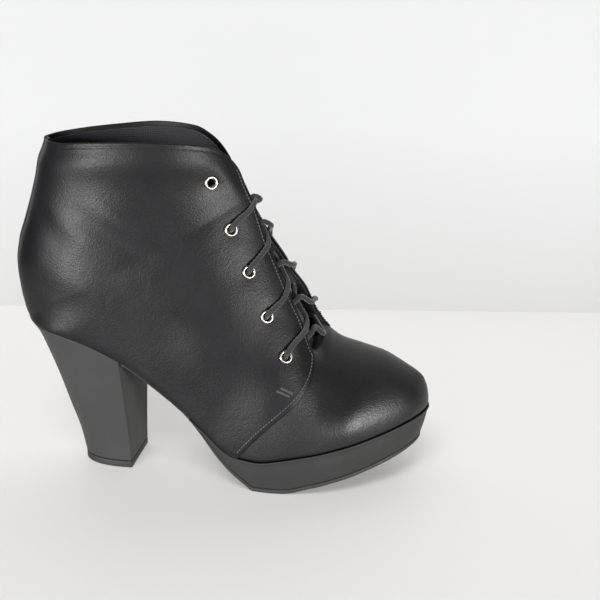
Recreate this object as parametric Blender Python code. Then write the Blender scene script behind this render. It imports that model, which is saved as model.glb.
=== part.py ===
"""Lace up ankle boot with a block heel and a covered platform, right shoe.

Metres, +X to the toe, +Y to the wearer's left (the medial side), +Z up.
The origin is the middle of the heel top piece's underside.
The upper is one surface, read as fanned sections around a point above the instep.
"""
import math

import bmesh
import bpy
from mathutils import Vector
from mathutils.geometry import interpolate_bezier

# Driving sizes of the boot
LENGTH = 0.2345
BALL_WIDTH = 0.084
HEEL_RISE = 0.091
SHAFT_HEIGHT = 0.101
PLATFORM_RISE = 0.0195
TOE_SPRING = 0.020
BREAST_AT = 0.0640

# Upper wall and panels
WALL = 0.0022
QUARTER_STEP = 0.0009
CLEARANCE = 0.0003

# Sole pieces
OUTSOLE_THICKNESS = 0.0024
PLATFORM_EDGE = 0.0006
PLATFORM_LEAN = 0.0026
TOE_LEAN = 0.0032
INSOLE_THICKNESS = 0.0016
HEEL_TIP_BACK = 0.0330
HEEL_TIP_WIDTH = 0.0330
HEEL_BREAST_LEAN = 0.0008
HEEL_BREAST_TURN = 0.06
TOP_PIECE_THICKNESS = 0.0040
TOP_PIECE_INSET = 0.0003

# Tongue
TONGUE_THICKNESS = 0.0016
TONGUE_WIDTH = 0.046
TONGUE_TUCK = 4.0
TONGUE_GAP = 0.0022
TONGUE_SEAT = 0.0011

# Facing and eyelets
EYELET_DIAMETER = 0.0075
EYELET_BORE = 0.0045
EYELET_HEIGHT = 0.0008
EYELET_SEAT = 0.0010
EYELET_BARREL_WALL = 0.0004

# Lace
LACE_DIAMETER = 0.0028
LACE_SIDES = 8
BAR_DROP = 2.0
BAR_DEPTH = 0.0012

# Rounding of the outline at its two ends
HEEL_ROUND = 0.029
TOE_ROUND = 0.050

# Mesh density
COLLAR_COLUMNS = 13
FACING_COLUMNS = 12
THROAT_COLUMNS = 3
VAMP_COLUMNS = 15
MERGE = 0.00005
UPPER_ROWS = 12

SEAT_BACK = 0.0155 * LENGTH
SHAFT_TOP = HEEL_RISE + SHAFT_HEIGHT
ORIGIN_X = (HEEL_TIP_BACK + BREAST_AT) / 2

# Fan centre: every section plane of the upper passes through it
FAN_ALONG = 0.800 * LENGTH
FAN_UP = SHAFT_TOP

# Feather line, where upper meets sole: shares of length, heel rise, platform rise and toe spring
FEATHER_LINE = (
    # along, heel, platform, spring
    (0.0155, 1.000, 0.00, 0.000),
    (0.068, 0.972, 0.00, 0.000),
    (0.141, 0.928, 0.00, 0.000),
    (0.273, 0.778, 0.00, 0.000),
    (0.375, 0.556, 0.15, 0.000),
    (0.426, 0.400, 0.34, 0.000),
    (0.482, 0.180, 0.73, 0.000),
    (0.507, 0.092, 0.86, 0.000),
    (0.537, 0.025, 0.96, 0.000),
    (0.593, 0.000, 1.00, 0.000),
    (0.652, 0.000, 1.00, 0.115),
    (0.725, 0.000, 1.00, 0.290),
    (0.797, 0.000, 1.00, 0.470),
    (0.870, 0.000, 1.00, 0.660),
    (0.938, 0.000, 1.00, 0.850),
    (1.000, 0.000, 1.00, 1.000),
)

# Underside of the outsole ahead of the shank, flat under the ball: shares as above
UNDERSIDE_LINE = (
    # along, heel, spring
    (0.456, 0.343, 0.000),
    (0.495, 0.203, 0.000),
    (0.529, 0.108, 0.000),
    (0.5655, 0.033, 0.000),
    (0.585, 0.000, 0.000),
    (0.652, 0.000, 0.000),
    (0.725, 0.000, 0.190),
    (0.800, 0.000, 0.410),
    (0.874, 0.000, 0.640),
    (0.932, 0.000, 0.840),
    (1.000, 0.000, 1.070),
)

# Plan outline at the feather line before its ends are rounded: shares of length and ball width
OUTLINE = (
    # along, centre, lateral, medial
    (0.000, 0.000, 0.340, 0.340),
    (0.130, 0.000, 0.345, 0.340),
    (0.273, 0.000, 0.360, 0.340),
    (0.384, -0.006, 0.374, 0.326),
    (0.469, -0.006, 0.405, 0.357),
    (0.554, 0.000, 0.457, 0.440),
    (0.640, 0.006, 0.500, 0.488),
    (0.725, 0.018, 0.506, 0.488),
    (0.797, 0.030, 0.476, 0.458),
    (0.870, 0.042, 0.428, 0.423),
    (0.932, 0.048, 0.393, 0.398),
    (1.000, 0.048, 0.335, 0.345),
)

# Centre ridge of the instep and vamp: shares of length and of the shaft top's height
RIDGE_LINE = (
    # along, height
    (0.473, 1.115),
    (0.516, 1.000),
    (0.536, 0.948),
    (0.5550, 0.896),
    (0.5820, 0.841),
    (0.6310, 0.703),
    (0.691, 0.5625),
    (0.727, 0.458),
    (0.752, 0.414),
    (0.784, 0.388),
    (0.836, 0.377),
    (0.885, 0.366),
    (0.938, 0.336),
    (0.971, 0.306),
    (0.990, 0.270),
)

# Back seam above the heel seat: shares of length and of the shaft's height
BACK_LINE = (
    # along, height
    (0.1045, 1.220),
    (0.0890, 0.935),
    (0.0750, 0.842),
    (0.0575, 0.720),
    (0.0330, 0.535),
    (0.0130, 0.402),
    (0.0030, 0.267),
    (0.0060, 0.129),
    (0.0155, 0.000),
)

# Cross sections of the upper, by the angle of their plane below the horizontal, in degrees.
# Half widths are shares of the ball width. widest is where a section is widest, from its ridge.
# front and back are the rounding powers, roll lifts the medial half of the ridge.
SECTIONS = (
    # angle, lateral, medial, widest, front, back, roll
    (-8.0, 0.357, 0.352, 0.50, 0.50, 0.44, 0.00),
    (2.0, 0.357, 0.352, 0.50, 0.50, 0.44, 0.00),
    (12.0, 0.352, 0.348, 0.52, 0.52, 0.43, 0.04),
    (21.5, 0.360, 0.355, 0.56, 0.54, 0.40, 0.09),
    (29.0, 0.376, 0.366, 0.62, 0.56, 0.38, 0.13),
    (44.0, 0.392, 0.368, 0.70, 0.58, 0.45, 0.18),
    (64.0, 0.430, 0.380, 0.76, 0.58, 0.50, 0.26),
    (74.0, 0.502, 0.492, 0.79, 0.57, 0.50, 0.33),
    (84.0, 0.524, 0.506, 0.78, 0.54, 0.50, 0.33),
    (90.0, 0.500, 0.482, 0.77, 0.52, 0.50, 0.22),
    (96.0, 0.452, 0.446, 0.76, 0.50, 0.50, 0.11),
    (102.0, 0.412, 0.416, 0.74, 0.50, 0.50, 0.05),
    (108.0, 0.360, 0.366, 0.72, 0.50, 0.50, 0.00),
)

# Collar's edge, from the back seam to the top of the facing: shares of that run and of the shaft
COLLAR_LINE = (
    # along, lateral, medial
    (0.00, 0.935, 0.935),
    (0.20, 0.976, 0.998),
    (0.54, 0.994, 1.030),
    (0.79, 0.987, 1.018),
    (0.90, 0.952, 0.976),
    (0.96, 0.920, 0.925),
    (1.00, 0.885, 0.885),
)

# Half gap between the facings, by lateral section angle, as a share of the ball width
FACING_GAP = (
    # angle, half
    (11.0, 0.066),
    (30.0, 0.077),
    (46.0, 0.095),
    (58.0, 0.113),
    (70.0, 0.149),
    (76.0, 0.178),
    (81.0, 0.225),
)

SHANK_END = 0.418 * LENGTH
PLATFORM_THIN = 0.0005
QUARTER_AT = 0.546 * LENGTH
QUARTER_EDGE = 0.0003
QUARTER_BOW = 0.0062
BOW_PEAK = 9.48

# Facing's top and the tab at its foot on the lateral and the medial side, and the throat's bottom
FACING_TOP_ANGLE = {-1: 11.0, 1: 14.0}
TAB_ANGLE = {-1: 81.0, 1: 84.0}
THROAT_ANGLE = 86.0

# Eyelet rows from the collar down: lateral section angle, and distance from the centre in ball widths
EYELET_ROWS = (
    # angle, across
    (16.4, 0.217),
    (36.2, 0.216),
    (51.9, 0.239),
    (64.6, 0.282),
    (73.7, 0.351),
)


def slopes(xs, ys):
    """Tangents of a curve through the rows that never overshoots them."""
    steps = [b - a for a, b in zip(xs, xs[1:])]
    rates = [(b - a) / h for a, b, h in zip(ys, ys[1:], steps)]
    tangents = [rates[0]]
    for i in range(1, len(xs) - 1):
        before, after = rates[i - 1], rates[i]
        if before * after <= 0.0:
            tangents.append(0.0)
            continue
        heavy = 2 * steps[i] + steps[i - 1]
        light = steps[i] + 2 * steps[i - 1]
        tangents.append((heavy + light) / (heavy / before + light / after))
    tangents.append(rates[-1])
    return tangents


class Curve:
    """Smooth curve through rows of (key, value), held level past its ends."""

    def __init__(self, pairs):
        pairs = sorted(pairs)
        self.xs = [pair[0] for pair in pairs]
        self.ys = [pair[1] for pair in pairs]
        self.tangents = slopes(self.xs, self.ys)

    def __call__(self, x):
        xs, ys, tangents = self.xs, self.ys, self.tangents
        if x <= xs[0]:
            return ys[0]
        if x >= xs[-1]:
            return ys[-1]
        i = next(k for k in range(len(xs) - 1) if x <= xs[k + 1])
        h = xs[i + 1] - xs[i]
        t = (x - xs[i]) / h
        start = (1 + 2 * t) * (1 - t) ** 2 * ys[i] + t * (1 - t) ** 2 * h * tangents[i]
        end = t * t * (3 - 2 * t) * ys[i + 1] + t * t * (t - 1) * h * tangents[i + 1]
        return start + end


def column(rows, index, key_scale=1.0, scale=1.0):
    return Curve([(row[0] * key_scale, row[index] * scale) for row in rows])


feather_z = Curve([
    (row[0] * LENGTH, row[1] * HEEL_RISE + row[2] * PLATFORM_RISE + row[3] * TOE_SPRING)
    for row in FEATHER_LINE
])
SHANK_ROWS = 10
shank_under = [
    (x, feather_z(x) - OUTSOLE_THICKNESS - CLEARANCE)
    for x in (BREAST_AT + (SHANK_END - BREAST_AT) * k / SHANK_ROWS for k in range(SHANK_ROWS + 1))
]
underside_z = Curve(shank_under + [
    (row[0] * LENGTH, row[1] * HEEL_RISE + row[2] * TOE_SPRING) for row in UNDERSIDE_LINE
])
outline_centre = column(OUTLINE, 1, LENGTH, BALL_WIDTH)
outline_half = {-1: column(OUTLINE, 2, LENGTH, BALL_WIDTH), 1: column(OUTLINE, 3, LENGTH, BALL_WIDTH)}

section_half = {-1: column(SECTIONS, 1, 1, BALL_WIDTH), 1: column(SECTIONS, 2, 1, BALL_WIDTH)}
section_widest = column(SECTIONS, 3)
section_front = column(SECTIONS, 4)
section_back = column(SECTIONS, 5)
section_roll = column(SECTIONS, 6)
facing_gap = column(FACING_GAP, 1, 1, BALL_WIDTH)


def fan_angle(x, z):
    return math.degrees(math.atan2(FAN_UP - z, FAN_ALONG - x))


def fan_reach(x, z):
    return math.hypot(FAN_UP - z, FAN_ALONG - x)


def fan_point(angle, reach):
    turn = math.radians(angle)
    return FAN_ALONG - reach * math.cos(turn), FAN_UP - reach * math.sin(turn)


ridge_points = [(row[0] * LENGTH, row[1] * SHAFT_TOP) for row in RIDGE_LINE]
back_points = [(row[0] * LENGTH, HEEL_RISE + row[1] * SHAFT_HEIGHT) for row in BACK_LINE]
feather_points = [(row[0] * LENGTH, feather_z(row[0] * LENGTH)) for row in FEATHER_LINE]
ridge_reach = Curve([(fan_angle(x, z), fan_reach(x, z)) for x, z in ridge_points])
feather_reach = Curve([(fan_angle(x, z), fan_reach(x, z)) for x, z in feather_points])
back_x = Curve([(z, x) for x, z in back_points])
BACK_SAMPLES = 60
back_heights = [
    back_points[-1][1] + (back_points[0][1] - back_points[-1][1]) * k / BACK_SAMPLES
    for k in range(BACK_SAMPLES + 1)
]
back_reach = Curve([(fan_angle(back_x(z), z), fan_reach(back_x(z), z)) for z in back_heights])
HEEL_CORNER_ANGLE = fan_angle(*back_points[-1])
TOE_ANGLE = fan_angle(*feather_points[-1])


def end_round(x, inset=0.0):
    """1 along the foot, falling to 0 at the heel's and the toe's end like an arc."""
    behind = max(0.0, min(1.0, (x - SEAT_BACK - inset) / HEEL_ROUND))
    ahead = max(0.0, min(1.0, (LENGTH - inset - x) / TOE_ROUND))
    return math.sqrt((1 - (1 - behind) ** 2) * (1 - (1 - ahead) ** 2))


def toe_round(x):
    ahead = max(0.0, min(1.0, (LENGTH - x) / TOE_ROUND))
    return math.sqrt(1 - (1 - ahead) ** 2)


def outline_y(x, side, inset=0.0):
    """Edge of the last's bottom at x on one side, drawn in by inset."""
    half = max(0.0, outline_half[side](x) - inset)
    return outline_centre(x) + side * half * end_round(x, inset)


class Section:
    """One fanned cross section of the upper's outer surface, on one side."""

    def __init__(self, angle, side):
        self.angle = min(angle, TOE_ANGLE)
        self.side = side
        self.ridge = ridge_reach(self.angle)
        open_below = self.angle > HEEL_CORNER_ANGLE
        self.bottom = feather_reach(self.angle) if open_below else back_reach(self.angle)
        bottom_x = fan_point(self.angle, self.bottom)[0]
        self.centre = outline_centre(bottom_x) if open_below else 0.0
        self.half = section_half[side](self.angle) * (toe_round(bottom_x) if open_below else 1.0)
        edge = abs(outline_y(bottom_x, side) - self.centre) if open_below else 0.0
        self.widest = section_widest(self.angle)
        self.front = section_front(self.angle)
        self.back = section_back(self.angle)
        share = min(0.995, edge / self.half) if self.half > 1e-7 else 0.0
        self.tuck = 1.0 - share ** (1.0 / self.back)
        self.roll = section_roll(self.angle)

    def width(self, depth):
        """Half width at a share of the way from the ridge to the bottom."""
        if self.half <= 1e-7:
            return 0.0
        if depth < self.widest:
            away = (self.widest - depth) / self.widest
            return self.half * max(0.0, 1 - away * away) ** self.front
        away = (depth - self.widest) / (1 - self.widest)
        return self.half * max(0.0, 1 - self.tuck * away * away) ** self.back

    def depth_of(self, across):
        """Share of the way down at which the front half is this wide."""
        share = min(1.0, across / self.half)
        return self.widest * (1 - math.sqrt(max(0.0, 1 - share ** (1.0 / self.front))))

    def point(self, depth, across=None):
        width = self.width(depth) if across is None else across
        reach = self.ridge + depth * (self.bottom - self.ridge)
        lift = self.roll * width * self.side * (1 - min(1.0, depth)) ** 1.3
        x, z = fan_point(self.angle, reach - lift)
        return Vector((x, self.centre + self.side * width, z))


def surface_at(x, z, side, on_seam=False):
    """Point of the outer surface whose section and depth are those of (x, z) in side view."""
    section = Section(fan_angle(x, z), side)
    if on_seam:
        return section.point(1.0, 0.0)
    depth = (fan_reach(x, z) - section.ridge) / (section.bottom - section.ridge)
    return section.point(max(0.0, min(1.0, depth)))


def throat_surface(angle, across):
    """Outer surface near the ridge: across is the signed distance from the centre line."""
    side = -1 if across < 0 else 1
    section = Section(angle, side)
    return section.point(section.depth_of(abs(across)), abs(across))


def throat_frame(angle, across, step=0.0004):
    """Point, outward normal and direction along the facing near the ridge."""
    here = throat_surface(angle, across)
    along = throat_surface(angle + 1.0, across) - throat_surface(angle - 1.0, across)
    sideways = throat_surface(angle, across + step) - throat_surface(angle, across - step)
    normal = along.cross(sideways).normalized()
    if normal.x < 0 and normal.z < 0:
        normal.negate()
    return here, normal, along.normalized()


def spread(point_at, count, samples=240):
    """Parameters 0..1 that cut a path into count equal lengths."""
    marks = [i / samples for i in range(samples + 1)]
    points = [point_at(mark) for mark in marks]
    lengths = [0.0]
    for a, b in zip(points, points[1:]):
        lengths.append(lengths[-1] + (b - a).length)
    chosen = []
    for k in range(count + 1):
        target = lengths[-1] * k / count
        i = next(n for n in range(samples) if lengths[n + 1] >= target - 1e-12)
        run = lengths[i + 1] - lengths[i]
        chosen.append(marks[i] + (target - lengths[i]) / max(run, 1e-12) / samples)
    return chosen


def feather_path(start, end, side):
    """Points along the feather line between two lengths, denser at the rounded ends."""
    def point_at(share):
        x = start + (end - start) * share
        return Vector((x, outline_y(x, side), feather_z(x)))
    return point_at


collar_height = {-1: column(COLLAR_LINE, 1), 1: column(COLLAR_LINE, 2)}


def side_angle(angle, side):
    """Angle on one side's facing that matches an angle on the lateral facing."""
    share = (angle - FACING_TOP_ANGLE[-1]) / (TAB_ANGLE[-1] - FACING_TOP_ANGLE[-1])
    return FACING_TOP_ANGLE[side] + (TAB_ANGLE[side] - FACING_TOP_ANGLE[side]) * share


def facing_edge(angle, side):
    section = Section(side_angle(angle, side), side)
    across = facing_gap(angle)
    depth = section.depth_of(across)
    return fan_point(angle, section.ridge + depth * (section.bottom - section.ridge))


def collar_edge(share, side):
    start = back_points[1][0]
    end = facing_edge(FACING_TOP_ANGLE[-1], side)
    top = (end[1] - HEEL_RISE) / SHAFT_HEIGHT
    level = collar_height[side](share) + (top - COLLAR_LINE[-1][1]) * share ** 8
    return start + (end[0] - start) * share, HEEL_RISE + level * SHAFT_HEIGHT


def throat_edge(share, side):
    """Rounded bottom of the throat, from the tab's tip to the ridge."""
    turn = share * math.pi / 2
    angle = TAB_ANGLE[side] + (THROAT_ANGLE - TAB_ANGLE[side]) * math.sin(turn)
    section = Section(angle, side)
    depth = section.depth_of(facing_gap(TAB_ANGLE[-1]) * math.cos(turn))
    return fan_point(angle, section.ridge + depth * (section.bottom - section.ridge))


def ridge_edge(share):
    angle = THROAT_ANGLE + (TOE_ANGLE - THROAT_ANGLE) * share
    return fan_point(angle, ridge_reach(angle))


def upper_columns(side):
    """Feet and heads of the grid's columns in side view, with row crowding, bow and panel."""
    columns = []

    def as_vector(flat):
        return Vector((flat[0], 0.0, flat[1]))

    rear = feather_path(SEAT_BACK, BREAST_AT, side)
    collar_marks = spread(lambda s: surface_at(*collar_edge(s, side), side), COLLAR_COLUMNS)
    for foot, head in zip(spread(rear, COLLAR_COLUMNS), collar_marks):
        columns.append((rear(foot), as_vector(collar_edge(head, side)), 1.0, 0.0, "quarter"))
    middle = feather_path(BREAST_AT, QUARTER_AT, side)
    for k, foot in enumerate(spread(middle, FACING_COLUMNS)[1:], 1):
        share = k / FACING_COLUMNS
        head = facing_edge(FACING_TOP_ANGLE[-1] + (TAB_ANGLE[-1] - FACING_TOP_ANGLE[-1]) * share, side)
        columns.append((middle(foot), as_vector(head), 1.0 + 0.2 * share, share ** 2, "quarter"))
    front = feather_path(QUARTER_AT + QUARTER_EDGE, LENGTH, side)
    feet = spread(front, THROAT_COLUMNS + VAMP_COLUMNS)
    for k, foot in enumerate(feet):
        if k <= THROAT_COLUMNS:
            start = QUARTER_EDGE / 0.01
            share = start + (1 - start) * k / THROAT_COLUMNS
            head = throat_edge(share, side)
            crowd = 1.2 + 0.5 * k / THROAT_COLUMNS
        else:
            head = ridge_edge((k - THROAT_COLUMNS) / VAMP_COLUMNS)
            crowd = 1.7
        bow = (1 - k / (THROAT_COLUMNS + VAMP_COLUMNS)) ** 2
        columns.append((front(foot), as_vector(head), crowd, bow, "vamp"))
    return columns


def upper_grid(side):
    """Points of the outer surface, one list of rows for each column, and each column's panel."""
    grid = []
    panels = []
    for foot, head, crowd, bow, panel in upper_columns(side):
        ahead_foot = foot.x - back_x(foot.z)
        ahead_head = head.x - back_x(head.z)
        rows = []
        for j in range(UPPER_ROWS + 1):
            v = 1 - (1 - j / UPPER_ROWS) ** crowd
            z = (1 - v) * foot.z + v * head.z
            x = back_x(z) + (1 - v) * ahead_foot + v * ahead_head
            x += QUARTER_BOW * bow * BOW_PEAK * v ** 3 * (1 - v)
            rows.append(surface_at(x, z, side, on_seam=not grid))
        rows[0] = Vector(foot)
        grid.append(rows)
        panels.append(panel)
    return grid, panels


def material(name, color, roughness, metallic=0.0):
    made = bpy.data.materials.new(name)
    made.use_nodes = True
    shader = made.node_tree.nodes["Principled BSDF"]
    shader.inputs["Base Color"].default_value = (*color, 1.0)
    shader.inputs["Roughness"].default_value = roughness
    shader.inputs["Metallic"].default_value = metallic
    return made


def add_object(name, mesh_builder, look):
    """Turn a bmesh in last coordinates into a named object, set on the boot's origin."""
    mesh = bpy.data.meshes.new(name)
    bmesh.ops.recalc_face_normals(mesh_builder, faces=mesh_builder.faces)
    mesh_builder.to_mesh(mesh)
    mesh_builder.free()
    mesh.materials.append(material(name, *look))
    mesh.shade_smooth()
    mesh.set_sharp_from_angle(angle=math.radians(40))
    made = bpy.data.objects.new(name, mesh)
    made.location = (-ORIGIN_X, 0.0, 0.0)
    bpy.context.scene.collection.objects.link(made)
    return made


def loft(rings, close_ends=True):
    """Closed solid through rings of equal length."""
    shape = bmesh.new()
    made = [[shape.verts.new(point) for point in ring] for ring in rings]
    count = len(rings[0])
    for a, b in zip(made, made[1:]):
        for k in range(count):
            shape.faces.new((a[k], a[(k + 1) % count], b[(k + 1) % count], b[k]))
    if close_ends:
        shape.faces.new(made[0])
        shape.faces.new(reversed(made[-1]))
    bmesh.ops.remove_doubles(shape, verts=shape.verts, dist=1e-6)
    bmesh.ops.dissolve_degenerate(shape, edges=shape.edges, dist=1e-6)
    return shape


def build_upper(look):
    """One hollow wall, with the quarter standing proud of the vamp along its front edge."""
    shape = bmesh.new()
    drop = shape.verts.layers.float.new("drop")
    for side in (-1, 1):
        grid, panels = upper_grid(side)
        placed = []
        for rows, panel in zip(grid, panels):
            line = [shape.verts.new(point) for point in rows]
            for vert in line:
                vert[drop] = QUARTER_STEP if panel == "vamp" else 0.0
            placed.append(line)
        for a, b in zip(placed, placed[1:]):
            for j in range(UPPER_ROWS):
                shape.faces.new((a[j], b[j], b[j + 1], a[j + 1]))
    bmesh.ops.remove_doubles(shape, verts=shape.verts, dist=MERGE)
    bmesh.ops.dissolve_degenerate(shape, edges=shape.edges, dist=1e-6)
    bmesh.ops.recalc_face_normals(shape, faces=shape.faces)
    shape.verts.ensure_lookup_table()
    back = max(shape.faces, key=lambda face: -face.calc_center_median().x)
    if back.normal.x > 0:
        bmesh.ops.reverse_faces(shape, faces=shape.faces)
    shape.normal_update()
    outer_faces = list(shape.faces)
    rim = [edge for edge in shape.edges if edge.is_boundary]
    normals = {vert: vert.normal.copy() for vert in shape.verts}
    inner = {vert: shape.verts.new(vert.co - normals[vert] * WALL) for vert in list(shape.verts)}
    for vert, normal in normals.items():
        vert.co = vert.co - normal * vert[drop]
    for face in outer_faces:
        shape.faces.new([inner[vert] for vert in reversed(face.verts)])
    for edge in rim:
        a, b = edge.verts
        shape.faces.new((a, b, inner[b], inner[a]))
    upper = add_object("upper", shape, look)
    for number, place, normal in eyelet_places():
        cutter = eyelet_cutter(number, place, normal)
        hole = upper.modifiers.new(f"hole_{number}", "BOOLEAN")
        hole.operation = "DIFFERENCE"
        hole.object = cutter
    return upper


def eyelet_places():
    """Name, centre and outward normal of each eyelet."""
    places = []
    for side, word in ((-1, "lateral"), (1, "medial")):
        for k, (angle, across) in enumerate(EYELET_ROWS, 1):
            here, normal, _ = throat_frame(side_angle(angle, side), side * across * BALL_WIDTH)
            places.append((f"{word}_{k}", here, normal))
    return places


def eyelet_cutter(name, place, normal):
    shape = bmesh.new()
    radius = EYELET_BORE / 2 + EYELET_BARREL_WALL + CLEARANCE
    bmesh.ops.create_cone(shape, cap_ends=True, segments=12, radius1=radius, radius2=radius, depth=WALL * 6)
    turn = normal.to_track_quat("Z", "Y").to_matrix()
    bmesh.ops.rotate(shape, verts=shape.verts, matrix=turn)
    bmesh.ops.translate(shape, verts=shape.verts, vec=place)
    cutter = add_object(f"cut_{name}", shape, ((0.5, 0.5, 0.5), 0.5))
    cutter.hide_render = True
    cutter.display_type = "WIRE"
    return cutter


def build_eyelet(name, place, normal, look):
    """Turned ring: a flange over the facing and a barrel down through its hole."""
    bore = EYELET_BORE / 2
    barrel = bore + EYELET_BARREL_WALL
    rim = EYELET_DIAMETER / 2
    profile = (
        (bore, -WALL),
        (barrel, -WALL),
        (barrel, EYELET_SEAT),
        (rim, EYELET_SEAT),
        (rim * 0.93, EYELET_SEAT + EYELET_HEIGHT * 0.75),
        (rim * 0.80, EYELET_SEAT + EYELET_HEIGHT),
        (bore, EYELET_SEAT + EYELET_HEIGHT * 0.55),
    )
    segments = 14
    rings = []
    for k in range(segments):
        turn = 2 * math.pi * k / segments
        rings.append([Vector((r * math.cos(turn), r * math.sin(turn), h)) for r, h in profile])
    shape = loft(rings + [rings[0]], close_ends=False)
    matrix = normal.to_track_quat("Z", "Y").to_matrix()
    bmesh.ops.rotate(shape, verts=shape.verts, matrix=matrix)
    bmesh.ops.translate(shape, verts=shape.verts, vec=place)
    return add_object(f"eyelet_{name}", shape, look)


def build_tongue(look):
    """Thin sheet under the facings, tucked below the vamp and ending under the collar."""
    rows = 18
    top = FACING_TOP_ANGLE[1] + 1.0
    bottom = THROAT_ANGLE + TONGUE_TUCK
    half = TONGUE_WIDTH / 2
    steps = 8
    rings = []
    for i in range(rows + 1):
        angle = top + (bottom - top) * i / rows
        corner = min(1.0, 0.72 + 0.28 * i / 2)
        seated = max(0.0, min(1.0, (angle - TAB_ANGLE[-1]) / (THROAT_ANGLE - TAB_ANGLE[-1])))
        outer_depth = WALL + TONGUE_GAP + (TONGUE_SEAT - TONGUE_GAP) * seated
        outer = []
        inner = []
        for k in range(steps + 1):
            across = half * corner * (2 * k / steps - 1)
            here, normal, _ = throat_frame(angle, across or 1e-5)
            outer.append(here - normal * outer_depth)
            inner.append(here - normal * (outer_depth + TONGUE_THICKNESS))
        rings.append(outer + inner[::-1])
    return add_object("tongue", loft(rings), look)


def sole_stations(start, end, count, rear_end=False):
    """Lengths along the sole, crowded where the outline rounds off at the toe."""
    bend = LENGTH - TOE_ROUND * 0.8
    straight = [start + (bend - start) * k / count for k in range(count)]
    turns = max(6, count // 2)
    rounded = [end - (end - bend) * (1 - math.sin(math.pi / 2 * k / turns)) for k in range(turns + 1)]
    if not rear_end:
        return straight + rounded
    rear = start + HEEL_ROUND * 0.8
    back = [rear - (rear - start) * math.cos(math.pi / 2 * k / turns) for k in range(turns)]
    return back + [x for x in straight if x > rear + 0.002] + rounded


def leaned(x, side):
    """Foot of the platform's side: drawn in all round, most at the toe."""
    toe_share = max(0.0, (x - 0.75 * LENGTH) / (0.25 * LENGTH))
    under_x = x - TOE_LEAN * toe_share ** 2
    under_y = outline_centre(x) + (outline_y(x, side) - outline_centre(x)) * (1 - 2 * PLATFORM_LEAN / BALL_WIDTH)
    return under_x, under_y


def platform_start():
    """Where the wedge between upper and outsole is just thick enough to be a piece."""
    x = SHANK_END
    while feather_z(x) - underside_z(x) - OUTSOLE_THICKNESS - 2 * CLEARANCE < PLATFORM_THIN:
        x += 0.0002
    return x


def build_platform(look):
    rings = []
    for x in sole_stations(platform_start(), LENGTH, 17):
        ring = []
        for side, run in ((-1, (0.0, 0.5, 1.0)), (1, (1.0, 0.5, 0.0))):
            top_y = outline_y(x, side) + side * PLATFORM_EDGE * min(1.0, end_round(x) * 3)
            under_x, under_y = leaned(x, side)
            top_z = feather_z(x) - CLEARANCE
            under_z = underside_z(under_x) + OUTSOLE_THICKNESS + CLEARANCE
            for share in run:
                bulge = side * 0.0004 * math.sin(math.pi * share)
                ring.append(Vector((
                    x + (under_x - x) * (1 - share),
                    under_y + (top_y - under_y) * share + bulge,
                    under_z + (top_z - under_z) * share,
                )))
        rings.append(ring)
    return add_object("platform", loft(rings), look)


def build_outsole(look):
    rings = []
    start = BREAST_AT + HEEL_BREAST_LEAN + CLEARANCE
    for x in sole_stations(start, LENGTH, 24):
        ring = []
        square = min(1.0, (x - start) / (SHANK_END - BREAST_AT))
        for side, run in ((-1, (0.0, 1.0)), (1, (1.0, 0.0))):
            under_x, under_y = leaned(x, side)
            under_x += HEEL_BREAST_TURN * under_y * (1 - square)
            for share in run:
                z = underside_z(under_x) + OUTSOLE_THICKNESS * share
                ring.append(Vector((under_x, under_y, z)))
        rings.append(ring)
    return add_object("outsole", loft(rings), look)


def build_insole(look):
    """Board that closes the upper from inside, just inside its wall."""
    inset = WALL + CLEARANCE * 4
    rings = []
    for x in sole_stations(SEAT_BACK + inset, LENGTH - inset, 22, rear_end=True):
        ring = []
        for share, lift in ((-1, 0.0), (-1, 1.0), (0, 1.0), (1, 1.0), (1, 0.0), (0, 0.0)):
            side = -1 if share < 0 else 1
            edge = outline_y(x, side, inset)
            y = edge if share else outline_centre(x)
            ring.append(Vector((x, y, feather_z(x) + INSOLE_THICKNESS * lift)))
        rings.append(ring)
    return add_object("insole", loft(rings), look)


def heel_ring(back, breast, half_at, z_at, count=22):
    """Plan ring of the heel, from the breast round the back to the breast."""
    ring = []
    for k in range(count + 1):
        turn = math.pi * (k / count - 0.5)
        share = 1 - math.cos(turn)
        x = back + (breast - back) * share
        side = -1 if turn < 0 else 1
        y = half_at(x, side, share)
        turned = x + HEEL_BREAST_TURN * y * share ** 2
        ring.append(Vector((turned, y, z_at(turned))))
    return ring


HEEL_LEVELS = 9
heel_back_line = Curve(((0.0, 1.0), (0.16, 0.95), (0.34, 0.83), (0.60, 0.575), (0.83, 0.28), (1.0, 0.0)))


def heel_levels():
    """Rings from the heel's foot to its seat, each given by its share of the rise."""
    tip_half = HEEL_TIP_WIDTH / 2
    for k in range(HEEL_LEVELS + 1):
        rise = k / HEEL_LEVELS
        back = SEAT_BACK + (HEEL_TIP_BACK - SEAT_BACK) * heel_back_line(rise)
        breast = BREAST_AT + HEEL_BREAST_LEAN * (1 - rise)

        def half_at(x, side, share, rise=rise, back=back, breast=breast):
            seat_x = SEAT_BACK + (BREAST_AT - SEAT_BACK) * (x - back) / (breast - back)
            seat = outline_y(seat_x, side)
            tip = side * tip_half * max(0.0, 1 - (1 - share) ** 2.5) ** 0.5
            blend = rise ** 1.25
            return tip * (1 - blend) + seat * blend

        def z_at(x, rise=rise, back=back, breast=breast):
            foot = TOP_PIECE_THICKNESS + CLEARANCE
            seat_x = SEAT_BACK + (BREAST_AT - SEAT_BACK) * (x - back) / (breast - back)
            return foot + (feather_z(seat_x) - CLEARANCE - foot) * rise

        yield heel_ring(back, breast, half_at, z_at)


def build_heel(look):
    return add_object("heel", loft(list(heel_levels())), look)


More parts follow.
